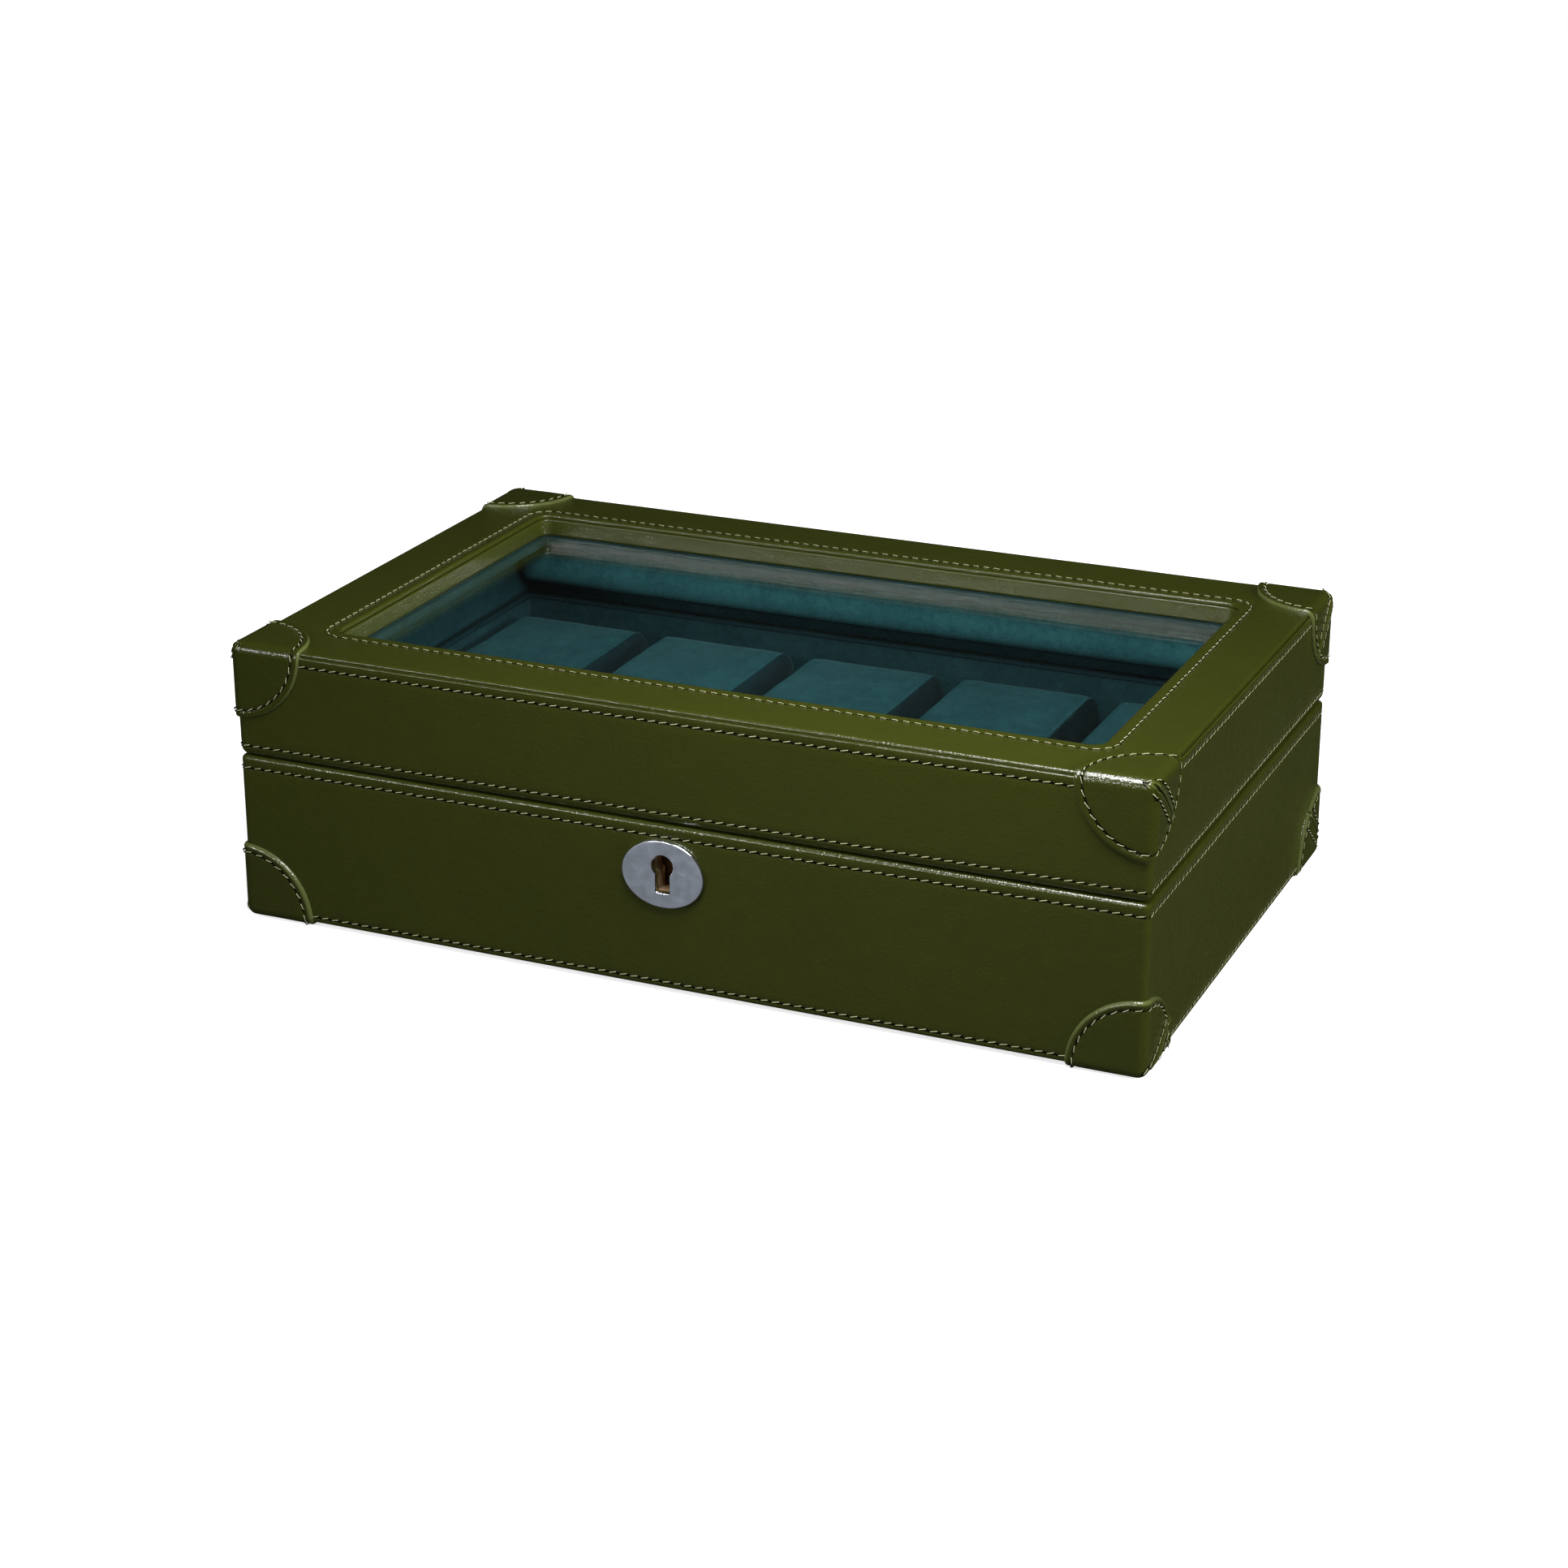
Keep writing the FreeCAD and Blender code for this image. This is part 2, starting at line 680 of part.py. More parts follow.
bolt_pieces = [
    box(
        "bolt bar",
        f"{PLATE_X} - sizes.bolt_left",
        f"{PLATE_X} + sizes.bolt_right",
        f"{HOOK_Y} - sizes.bolt_thickness / 2",
        f"{HOOK_Y} + sizes.bolt_thickness / 2",
        BAR_LOW,
        BAR_HIGH,
    ),
    box(
        "bolt talon",
        f"{PLATE_X} - sizes.talon_width / 2",
        f"{PLATE_X} + sizes.talon_width / 2",
        f"{HOOK_Y} - sizes.bolt_thickness / 2",
        f"{HOOK_Y} + sizes.bolt_thickness / 2",
        f"{BAR_LOW} - sizes.talon_drop",
        BAR_HIGH,
    ),
]
NOSE_HIGH = f"({CORE_HIGH} - sizes.finger_drop)"
NOSE_LOW = f"({HOOK_LOW} + sizes.hook_nose + sizes.finger_gap)"
for number, start in enumerate(HOOK_STARTS, 1):
    bolt_pieces.append(box(
        f"bolt finger {number}",
        f"{start} + sizes.finger_reach",
        f"{start} + sizes.finger_reach + sizes.finger_width",
        f"{HOOK_Y} - sizes.bolt_thickness / 2",
        f"{HOOK_Y} + sizes.bolt_thickness / 2",
        BAR_LOW,
        NOSE_HIGH,
    ))
    bolt_pieces.append(box(
        f"bolt nose {number}",
        f"{start} + sizes.finger_reach - sizes.finger_nose",
        f"{start} + sizes.finger_reach + sizes.finger_width / 2",
        f"{HOOK_Y} - sizes.bolt_thickness / 2",
        f"{HOOK_Y} + sizes.bolt_thickness / 2",
        NOSE_LOW,
        NOSE_HIGH,
    ))
named(join("lock_bolt", bolt_pieces), "lock_bolt")

strike_pieces = [box(
    "strike bar",
    f"{PLATE_X} - sizes.strike_width / 2",
    f"{PLATE_X} + sizes.strike_width / 2",
    SELVEDGE_FRONT,
    f"{SELVEDGE_FRONT} + sizes.strike_depth",
    LID_LOW,
    LID_CORE_LOW,
)]
for number, start in enumerate(HOOK_STARTS, 1):
    strike_pieces.append(box(
        f"hook stem {number}",
        f"{start}",
        f"{start} + sizes.finger_width",
        f"{HOOK_Y} - sizes.hook_thickness / 2",
        f"{HOOK_Y} + sizes.hook_thickness / 2",
        HOOK_LOW,
        LID_CORE_LOW,
    ))
    strike_pieces.append(box(
        f"hook nose {number}",
        f"{start} + sizes.finger_width / 2",
        f"{start} + sizes.finger_width + sizes.hook_overhang",
        f"{HOOK_Y} - sizes.hook_thickness / 2",
        f"{HOOK_Y} + sizes.hook_thickness / 2",
        HOOK_LOW,
        f"{HOOK_LOW} + sizes.hook_nose",
    ))
named(cut(
    "strike_plate",
    join("strike whole", strike_pieces),
    sink_holes("strike sink", strike_places, LID_LOW, False),
), "strike_plate")
named(join("strike_screws", screw_set("strike screw", strike_places, LID_LOW, False)), "strike_screws")

# The board frame of the lid: four deep walls and a top frame that carries the glass
lid_core_block = rounded(
    "lid core block",
    inset_box("lid core", "sizes.leather_thickness", LID_CORE_LOW, PANEL_LOW),
    [(upright, core_corner)],
)
lid_core_low = bottom_of(lid_core_block)
lid_core_form = rounded(
    "lid core form",
    lid_core_block,
    [(level(lid_core_low), size("lid_edge_curl") - size("leather_thickness"))],
)
lid_hollow = inset_box("lid core hollow", LID_IN, f"{LID_LOW} - 5", RETAINER_LOW)
rabbet = inset_box("glass rabbet", f"{GLASS_IN} - sizes.glass_fit", f"{RETAINER_LOW} - 1", GLASS_HIGH)
window = inset_box("window", "sizes.frame_width", f"{GLASS_HIGH} - 1", f"{LID_HIGH} + 5")
window_round = rounded("window round", window, [(upright, size("frame_corner"))])
named(cut(
    "lid_carcass",
    lid_core_form,
    [lid_hollow, rabbet, window_round]
    + screw_holes("lid hinge hole", all_leaf_places, LID_LOW, False)
    + screw_holes("strike hole", strike_places, LID_LOW, False),
), "lid_carcass")

# The leather of the lid: its curled lower edge, the turned part inside, and the rolled rim beside the top
lid_block = inset_box("lid block", "0", LID_LOW, SIDE_RIM)
lid_low = bottom_of(lid_block)
lid_rim = top_of(lid_block)
lid_form = rounded(
    "lid form",
    lid_block,
    [
        (upright, corner),
        (level(lid_low), size("lid_edge_curl")),
        (level(lid_rim), size("side_rim_edge")),
    ],
)
lid_cavity = inset_box("lid cavity", LID_LINED, f"{LID_LOW} - 5", f"{LID_HIGH} + 5")
lid_inner_x = size("box_length") / 2 - size("lid_board")
lid_inner_y = size("box_depth") / 2 - size("lid_board")
lid_ring = rounded(
    "lid ring",
    cut("lid hollowed", lid_form, [lid_cavity]),
    [(inside(level(lid_low), lid_inner_x, lid_inner_y), size("inner_edge"))],
)
lid_core_tall = rounded(
    "lid core tall form",
    inset_box("lid core tall", "sizes.leather_thickness", LID_CORE_LOW, f"{LID_HIGH} + 5"),
    [(upright, core_corner)],
)
lid_core_tall_form = rounded(
    "lid core tall rounded",
    lid_core_tall,
    [(level(lid_core_low), size("lid_edge_curl") - size("leather_thickness"))],
)
lid_core_ring = cut(
    "lid core ring",
    lid_core_tall_form,
    [inset_box("lid flap zone", LID_IN, f"{LID_LOW} - 5", LID_FLAP_HIGH)],
)
named(cut("lid_side_leather", lid_ring, [lid_core_ring, strike_seat] + lid_seats), "lid_side_leather")

# The covered frame on top
panel_block = inset_box("panel block", "sizes.panel_inset", PANEL_LOW, LID_HIGH)
panel_high = top_of(panel_block)
panel_form = rounded(
    "panel form",
    panel_block,
    [(upright, corner - size("panel_inset") / 2), (level(panel_high), size("panel_edge"))],
)
panel_ring = rounded(
    "panel ring",
    cut("panel opened", panel_form, [window_round]),
    [(
        inside(level(panel_high), size("box_length") / 2 - size("frame_width") + 1,
               size("box_depth") / 2 - size("frame_width") + 1),
        size("panel_edge"),
    )],
)
board_outer = inset_box(
    "panel board block",
    "sizes.panel_inset + sizes.leather_thickness",
    PANEL_LOW,
    f"{PANEL_LOW} + sizes.panel_board",
)
board_window = rounded(
    "panel board window",
    inset_box(
        "panel board opening",
        "sizes.frame_width - sizes.leather_thickness",
        f"{PANEL_LOW} - 1",
        f"{LID_HIGH} + 1",
    ),
    [(upright, size("frame_corner") + size("leather_thickness"))],
)
lid_top_board = named(cut("lid_top_board", board_outer, [board_window]), "lid_top_board")
named(cut("lid_top_leather", panel_ring, [lid_top_board]), "lid_top_leather")

jamb_block = rounded(
    "jamb block",
    inset_box("jamb outer", "sizes.frame_width", GLASS_HIGH, f"{LID_HIGH} - sizes.jamb_drop"),
    [(upright, size("frame_corner"))],
)
jamb_opening = rounded(
    "jamb opening",
    inset_box("jamb inner", JAMB_IN, f"{GLASS_HIGH} - 1", f"{LID_HIGH} + 1"),
    [(upright, size("frame_corner") - size("leather_thickness"))],
)
jamb_frame = cut("jamb frame", jamb_block, [jamb_opening])
jamb_high = top_of(jamb_frame)
named(rounded("jamb_leather", jamb_frame, [(
    inside(level(jamb_high), size("box_length") / 2 - size("frame_width") - 0.5,
           size("box_depth") / 2 - size("frame_width") - 0.5),
    size("side_rim_edge"),
)]), "jamb_leather")

named(inset_box("glass_pane", GLASS_IN, GLASS_LOW, GLASS_HIGH), "glass_pane")
named(cut(
    "glass_retainer",
    inset_box("retainer block", GLASS_IN, RETAINER_LOW, GLASS_LOW),
    [inset_box("retainer opening", RETAINER_IN, f"{RETAINER_LOW} - 1", f"{GLASS_LOW} + 1")],
), "glass_retainer")
named(cut(
    "lid_lining",
    inset_box("lid lining block", LID_IN, LID_FLAP_HIGH, RETAINER_LOW),
    [
        inset_box("lid lining hollow", LID_LINED, f"{LID_LOW} - 1", LID_ROOF),
        inset_box("lid lining opening", f"{RETAINER_IN} - 0.4", LID_LOW, f"{RETAINER_LOW} + 1"),
    ],
), "lid_lining")

# Corner guards: thin leather caps cut round by a ball about each corner of the box
GUARD_OUT = "-sizes.guard_thickness"
base_guard_block = inset_box("base guard block", GUARD_OUT, f"{BASE_LOW} - sizes.guard_thickness", BASE_HIGH)
base_guard_low = bottom_of(base_guard_block)
base_guard_form = rounded(
    "base guard form",
    base_guard_block,
    [(upright, size("guard_edge")), (level(base_guard_low), size("guard_edge"))],
)
base_guard_shell = cut("base guard shell", base_guard_form, [base_form])
lid_guard_block = inset_box("lid guard block", GUARD_OUT, LID_LOW, f"{LID_HIGH} + sizes.guard_thickness")
lid_guard_high = top_of(lid_guard_block)
lid_guard_form = rounded(
    "lid guard form",
    lid_guard_block,
    [(upright, size("guard_edge")), (level(lid_guard_high), size("guard_edge"))],
)
lid_guard_shell = cut("lid guard shell", lid_guard_form, [lid_form, panel_form])
corners = (("front_left", -1, -1), ("front_right", 1, -1), ("back_left", -1, 1), ("back_right", 1, 1))
for prefix, shell, height in (
    ("bottom_guard", base_guard_shell, BASE_LOW),
    ("top_guard", lid_guard_shell, LID_HIGH),
):
    for place, side_x, side_y in corners:
        ball = doc.addObject("Part::Sphere", "ball")
        ball.Label = f"{prefix} ball {place}"
        ball.setExpression("Radius", "sizes.guard_reach")
        ball.setExpression("Placement.Base.x", f"{side_x} * {HALF_X}")
        ball.setExpression("Placement.Base.y", f"{side_y} * {HALF_Y}")
        ball.setExpression("Placement.Base.z", height)
        guard = doc.addObject("Part::MultiCommon", "guard")
        guard.Shapes = [shell, ball]
        named(guard, f"{prefix}_{place}")

# Two butt hinges in the rear seam: three knuckles on the base leaf, two on the lid leaf
KNUCKLE = "(sizes.hinge_length / 5)"
for name, side in SIDES:
    middle = f"({side} * {HINGE_X})"
    bore = cylinder(
        f"hinge bore {name}",
        "sizes.pin_radius + sizes.pin_fit",
        "sizes.hinge_length + 2",
        (f"{middle} - sizes.hinge_length / 2 - 1", AXIS_Y, AXIS_Z),
        "x",
    )
    for prefix, low, high, knuckles, downward in (
        ("base", CORE_HIGH, BASE_HIGH, (0, 2, 4), True),
        ("lid", LID_LOW, LID_CORE_LOW, (1, 3), False),
    ):
        pieces = [box(
            f"{prefix} leaf {name}",
            f"{middle} - sizes.hinge_length / 2",
            f"{middle} + sizes.hinge_length / 2",
            LEAF_FRONT,
            HALF_Y,
            low,
            high,
        )]
        for count in knuckles:
            start = f"({middle} - sizes.hinge_length / 2 + {count} * {KNUCKLE} + sizes.knuckle_gap / 2)"
            end = f"({start} + {KNUCKLE} - sizes.knuckle_gap)"
            pieces.append(cylinder(
                f"{prefix} knuckle {name} {count}",
                "sizes.knuckle_radius",
                f"{KNUCKLE} - sizes.knuckle_gap",
                (start, AXIS_Y, AXIS_Z),
                "x",
            ))
            pieces.append(box(
                f"{prefix} tongue {name} {count}",
                start,
                end,
                f"{HALF_Y} - 0.5",
                f"{AXIS_Y} - 1.35",
                low,
                high,
            ))
        whole = join(f"{prefix} leaf whole {name}", pieces)
        head_level = BASE_HIGH if downward else LID_LOW
        sinks = sink_holes(f"{prefix} leaf sink {name}", leaf_places[name], head_level, downward)
        named(cut(f"{prefix}_hinge_leaf_{name}", whole, [bore] + sinks), f"{prefix}_hinge_leaf_{name}")
    named(cylinder(
        f"hinge_pin_{name}",
        "sizes.pin_radius",
        "sizes.hinge_length",
        (f"{middle} - sizes.hinge_length / 2", AXIS_Y, AXIS_Z),
        "x",
    ), f"hinge_pin_{name}")
base_hinge_screws = screw_set("base hinge screw", all_leaf_places, BASE_HIGH, True)
named(join("base_hinge_screws", base_hinge_screws), "base_hinge_screws")
lid_hinge_screws = screw_set("lid hinge screw", all_leaf_places, LID_LOW, False)
named(join("lid_hinge_screws", lid_hinge_screws), "lid_hinge_screws")


def soft_outline(body, role, offset, wide_by, tall_by, round_by):
    """A sketch of a rectangle with round corners, its sides lines and its corners quarter arcs."""
    sketch = sketch_on(body, role, offset)
    half_w, half_h, radius = 20.0, 15.0, 3.0
    points = [V(-half_w, -half_h, 0), V(half_w, -half_h, 0), V(half_w, half_h, 0), V(-half_w, half_h, 0)]
    steps = [V(1, 0, 0), V(0, 1, 0), V(-1, 0, 0), V(0, -1, 0)]
    for index in range(4):
        start = points[index] + steps[index] * radius
        end = points[(index + 1) % 4] - steps[index] * radius
        sketch.addGeometry(Part.LineSegment(start, end))
    for index in range(4):
        inward = steps[(index + 1) % 4] - steps[index]
        center = points[(index + 1) % 4] + inward * radius
        angle = -1.5707963 + index * 1.5707963
        circle = Part.Circle(center, V(0, 0, 1), radius)
        sketch.addGeometry(Part.ArcOfCircle(circle, angle, angle + 1.5707963))
    for index in range(4):
        sketch.addConstraint(Sketcher.Constraint("Tangent", index, 2, 4 + index, 1))
        sketch.addConstraint(Sketcher.Constraint("Tangent", 4 + index, 2, (index + 1) % 4, 1))
    sketch.addConstraint(Sketcher.Constraint("Horizontal", 2))
    sketch.addConstraint(Sketcher.Constraint("Vertical", 3))
    for index in (5, 6, 7):
        sketch.addConstraint(Sketcher.Constraint("Equal", 4, index))
    sketch.addConstraint(Sketcher.Constraint("Symmetric", 0, 1, 0, 2, -2))
    sketch.addConstraint(Sketcher.Constraint("Symmetric", 1, 1, 1, 2, -1))
    corner_at = sketch.addConstraint(Sketcher.Constraint("Radius", 4, radius))
    across = sketch.addConstraint(Sketcher.Constraint("DistanceX", 3, 1, 1, 1, 2 * half_w))
    up = sketch.addConstraint(Sketcher.Constraint("DistanceY", 0, 1, 2, 1, 2 * half_h))
    sketch.setExpression(f"Constraints[{corner_at}]", round_by)
    sketch.setExpression(f"Constraints[{across}]", wide_by)
    sketch.setExpression(f"Constraints[{up}]", tall_by)
    return sketch


# Ten watch cushions: crowned across, drawn in at the two end panels
ROW_Y = f"(({INNER_Y} + {HALF_DIVIDER}) / 2)"
HALF_PILLOW = "sizes.cushion_width / 2"
PILLOW_SECTIONS = [
    (f"-{HALF_PILLOW}", "(sizes.cushion_draw + sizes.cushion_seam)"),
    (f"-({HALF_PILLOW} - 0.3 * sizes.cushion_seam)", "(sizes.cushion_draw + 0.3 * sizes.cushion_seam)"),
    (f"-({HALF_PILLOW} - sizes.cushion_seam)", "sizes.cushion_draw"),
    (f"-{HALF_PILLOW} / 2", "(sizes.cushion_draw * 0.3)"),
    ("0", "0"),
    (f"{HALF_PILLOW} / 2", "(sizes.cushion_draw * 0.3)"),
    (f"{HALF_PILLOW} - sizes.cushion_seam", "sizes.cushion_draw"),
    (f"{HALF_PILLOW} - 0.3 * sizes.cushion_seam", "(sizes.cushion_draw + 0.3 * sizes.cushion_seam)"),
    (HALF_PILLOW, "(sizes.cushion_draw + sizes.cushion_seam)"),
]
COLUMNS = ("-2", "-1", "0", "1", "2")
for row_at, row_side in enumerate(("-1", "1")):
    for column_at, step in enumerate(COLUMNS):
        number = row_at * 5 + column_at + 1
        body = doc.addObject("PartDesign::Body", f"pillow_{number}")
        sections = []
        for inset, draw in PILLOW_SECTIONS:
            sections.append(soft_outline(
                body,
                "YZ_Plane",
                inset,
                f"sizes.cushion_depth - 2 * {draw}",
                f"sizes.cushion_height - 2 * {draw}",
                f"sizes.cushion_corner - {draw}",
            ))
        loft = body.newObject("PartDesign::AdditiveLoft", f"pillow_loft_{number}")
        loft.Ruled = True
        loft.Profile = sections[0]
        loft.Sections = sections[1:]
        body.setExpression("Placement.Base.x", f"{step} * {COLUMN}")
        body.setExpression("Placement.Base.y", f"{row_side} * {ROW_Y}")
        body.setExpression("Placement.Base.z", f"{LINED_FLOOR} + sizes.cushion_height / 2")
        named(body, f"cushion_{number}")

# The soft roll along the rear wall of the lid
roll = doc.addObject("PartDesign::Body", "roll")
ROLL_LENGTH = f"(sizes.box_length - 2 * ({LID_LINED} + sizes.roll_end_gap))"
roll_sketch = soft_outline(
    roll, "YZ_Plane", f"-{ROLL_LENGTH} / 2", "sizes.roll_depth", "sizes.roll_height", "sizes.roll_corner",
)
roll_pad = roll.newObject("PartDesign::Pad", "roll_pad")
roll_pad.Profile = roll_sketch
roll_pad.setExpression("Length", ROLL_LENGTH)
doc.recompute()
roll_ends = [
    f"Edge{count}" for count, edge in enumerate(roll_pad.Shape.Edges, 1) if edge.BoundBox.XLength < 1e-4
]
roll_round = roll.newObject("PartDesign::Fillet", "roll_round")
roll_round.Base = (roll_pad, roll_ends)
roll_round.setExpression("Radius", "sizes.roll_corner * 0.8")
roll.setExpression("Placement.Base.y", f"{HALF_Y} - {LID_LINED} - sizes.roll_depth / 2")
roll.setExpression("Placement.Base.z", f"{LID_ROOF} - sizes.roll_clear - sizes.roll_height / 2")
named(roll, "lid_roll")

doc.recompute()
os.makedirs("parts", exist_ok=True)
trouble = []
for item in doc.Objects:
    if "Invalid" in item.State or "Error" in item.State:
        trouble.append(item.Label)
for piece in nodes:
    if piece.Shape.isNull() or not piece.Shape.isValid() or not piece.Shape.Solids:
        trouble.append(piece.Label)
if trouble:
    raise RuntimeError("faulty shapes: " + ", ".join(trouble))
for piece in nodes:
    piece.Shape.exportStep(f"parts/{piece.Label}.step")
    bounds = piece.Shape.BoundBox
    print(
        f"{piece.Label}: solids {len(piece.Shape.Solids)} volume {piece.Shape.Volume:.1f}",
        f"x {bounds.XMin:.2f} {bounds.XMax:.2f} y {bounds.YMin:.2f} {bounds.YMax:.2f}",
        f"z {bounds.ZMin:.2f} {bounds.ZMax:.2f}",
    )
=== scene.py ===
import math
import random

import bmesh
import bpy
import numpy as np
from mathutils import Matrix, Vector, noise
from mathutils.kdtree import KDTree


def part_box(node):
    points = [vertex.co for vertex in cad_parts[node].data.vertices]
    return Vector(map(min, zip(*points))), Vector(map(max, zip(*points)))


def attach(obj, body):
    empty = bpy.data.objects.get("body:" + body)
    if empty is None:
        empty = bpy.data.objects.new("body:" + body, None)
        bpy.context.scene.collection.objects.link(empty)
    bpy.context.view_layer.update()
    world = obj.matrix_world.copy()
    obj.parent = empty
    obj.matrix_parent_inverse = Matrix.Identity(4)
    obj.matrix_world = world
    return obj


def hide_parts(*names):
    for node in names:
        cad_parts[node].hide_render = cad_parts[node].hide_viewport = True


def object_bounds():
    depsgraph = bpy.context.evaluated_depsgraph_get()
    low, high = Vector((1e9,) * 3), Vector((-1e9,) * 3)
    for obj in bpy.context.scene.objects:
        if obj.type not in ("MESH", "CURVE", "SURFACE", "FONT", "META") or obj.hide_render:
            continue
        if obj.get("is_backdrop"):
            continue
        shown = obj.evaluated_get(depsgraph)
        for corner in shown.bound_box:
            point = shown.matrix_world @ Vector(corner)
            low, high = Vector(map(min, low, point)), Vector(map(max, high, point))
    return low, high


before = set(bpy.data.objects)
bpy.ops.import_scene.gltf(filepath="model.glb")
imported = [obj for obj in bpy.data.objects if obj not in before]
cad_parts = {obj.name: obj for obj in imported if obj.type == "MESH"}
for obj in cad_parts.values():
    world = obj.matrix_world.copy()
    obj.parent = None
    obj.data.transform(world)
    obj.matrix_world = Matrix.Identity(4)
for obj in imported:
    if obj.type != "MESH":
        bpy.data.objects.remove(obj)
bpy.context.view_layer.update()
MM = 0.001

# Sizes of the box in millimetres, in the frame of the CAD model
HALF_X = 165.0
HALF_Y = 103.1
BASE_LOW = 1.2
BASE_HIGH = 60.4
LID_LOW = 60.8
LID_HIGH = 100.9
GLASS_HIGH = 92.9
WINDOW_IN = 25.6
BODY_CORNER = 2.5

# Heights between which the walls are straight
BASE_WALL = (3.0, 58.8)
LID_WALL = (64.2, 98.9)

# Rows of stitches: heights on the walls, and the distance in from the walls on the top
BASE_TOP_SEAM = 56.2
BASE_LOW_SEAM = 3.8
LID_LOW_SEAM = 64.4
LID_TOP_SEAM = 96.3
TOP_SEAM_IN = 21.2

# The leather's slow waves: coarseness, size on the walls and on the top, and a seed for each cover
WAVE = 0.03
WALL_WAVE = 0.10
TOP_WAVE = 0.08
BASE_SEED, LID_SEED, TOP_SEED, GUARD_SEED = 3.0, 11.0, 7.0, 5.0


# Materials
class Tree:
    """Short ways to add shader nodes to one material."""

    def __init__(self, tree):
        self.tree = tree

    def add(self, kind, **settings):
        node = self.tree.nodes.new(kind)
        for key, setting in settings.items():
            setattr(node, key, setting)
        return node

    def link(self, source, target):
        self.tree.links.new(source, target)

    def noise(self, coords, scale, detail=2.0, rough=0.5, distortion=0.0):
        node = self.add("ShaderNodeTexNoise")
        set_inputs(node, Scale=scale, Detail=detail, Roughness=rough, Distortion=distortion)
        self.link(coords, node.inputs["Vector"])
        return node.outputs["Fac"]

    def cells(self, coords, scale, smooth):
        node = self.add("ShaderNodeTexVoronoi", feature="SMOOTH_F1")
        set_inputs(node, Scale=scale, Smoothness=smooth)
        self.link(coords, node.inputs["Vector"])
        return node.outputs["Distance"]

    def math(self, kind, first, second=None, third=None):
        node = self.add("ShaderNodeMath", operation=kind)
        for socket, value in zip(node.inputs, (first, second, third)):
            if value is None:
                continue
            if isinstance(value, (int, float)):
                socket.default_value = value
            else:
                self.link(value, socket)
        return node.outputs[0]

    def remap(self, value, low, high, to_low, to_high):
        node = self.add("ShaderNodeMapRange")
        set_inputs(node, From_Min=low, From_Max=high, To_Min=to_low, To_Max=to_high)
        self.link(value, node.inputs["Value"])
        return node.outputs["Result"]

    def mix(self, factor, first, second):
        node = self.add("ShaderNodeMix", data_type="RGBA")
        for socket, value in ((0, factor), (6, first), (7, second)):
            if isinstance(value, (int, float)):
                node.inputs[socket].default_value = value
            elif isinstance(value, tuple):
                node.inputs[socket].default_value = (*value, 1.0)
            else:
                self.link(value, node.inputs[socket])
        return node.outputs[2]

    def bump(self, height, distance, strength=1.0, below=None):
        node = self.add("ShaderNodeBump")
        set_inputs(node, Distance=distance, Strength=strength)
        self.link(height, node.inputs["Height"])
        if below is not None:
            self.link(below, node.inputs["Normal"])
        return node.outputs["Normal"]

    def mix_shaders(self, factor, first, second):
        node = self.add("ShaderNodeMixShader")
        for socket, source in zip(node.inputs, (factor, first, second)):
            self.link(source, socket)
        return node.outputs["Shader"]

    def white_light(self, kind, strength):
        node = self.add(kind)
        set_inputs(node, Color=(1.0, 1.0, 1.0, 1.0), Strength=strength)
        return node


def material(name):
    """A new material with its node helper, object coordinates, main shader and output."""
    made = bpy.data.materials.new(name)
    made.use_nodes = True
    made.node_tree.nodes.clear()
    t = Tree(made.node_tree)
    out = t.add("ShaderNodeOutputMaterial")
    shader = t.add("ShaderNodeBsdfPrincipled")
    t.link(shader.outputs["BSDF"], out.inputs["Surface"])
    return made, t, t.add("ShaderNodeTexCoord").outputs["Object"], shader, out


def set_inputs(node, **numbers):
    """Sets sockets by their names, with _ for a space."""
    for socket, number in numbers.items():
        node.inputs[socket.replace("_", " ")].default_value = number


# Pale colour of the guards' edges: edge colour with a painted highlight.
PALE_EDGE_AND_HIGHLIGHT = (0.080, 0.093, 0.028)
# Painted shade in the darts' slits.
SLIT_PAINTED_SHADE = (0.004, 0.005, 0.0012)


def leather_material(name, dark, light, rough, grain=1.0):
    """Lacquered leather; the attribute "rim" makes cut edges pale, as edge colour with a painted highlight,
    gives the darts' lips a painted highlight, and paints shade into slits where it is negative.
    """
    made, t, coords, shader, _ = material(name)
    broad = t.noise(coords, 28.0, 3.0, 0.55)
    patch = t.noise(coords, 160.0, 2.0, 0.6)
    tone = t.math("MULTIPLY_ADD", patch, 0.5, t.math("MULTIPLY", broad, 0.5))
    color = t.mix(t.remap(tone, 0.3, 0.7, 0.0, 1.0), dark, light)
    rim = t.add("ShaderNodeAttribute", attribute_name="rim").outputs["Fac"]
    paler = t.math("MULTIPLY", t.math("MAXIMUM", rim, 0.0), t.remap(patch, 0.3, 0.7, 0.75, 1.0))
    painted = t.mix(paler, color, PALE_EDGE_AND_HIGHLIGHT)
    darker = t.math("MAXIMUM", t.math("MULTIPLY", rim, -1.0), 0.0)
    t.link(t.mix(darker, painted, SLIT_PAINTED_SHADE), shader.inputs["Base Color"])
    pores = t.cells(coords, 1500.0, 0.6)
    wrinkle = t.noise(coords, 700.0, 3.0, 0.6, 0.8)
    soft = t.noise(coords, 90.0, 2.0, 0.5)
    height = t.math("MULTIPLY_ADD", wrinkle, 0.8, t.math("MULTIPLY", pores, 0.7))
    normal = t.bump(soft, 0.00035, 0.5 * grain)
    normal = t.bump(height, 0.00017, 0.75 * grain, normal)
    t.link(normal, shader.inputs["Normal"])
    t.link(normal, shader.inputs["Coat Normal"])
    t.link(t.remap(tone, 0.3, 0.7, rough + 0.05, rough - 0.05), shader.inputs["Roughness"])
    set_inputs(shader, Coat_Weight=1.0, Coat_Roughness=0.15, Specular_IOR_Level=0.15)
    return made


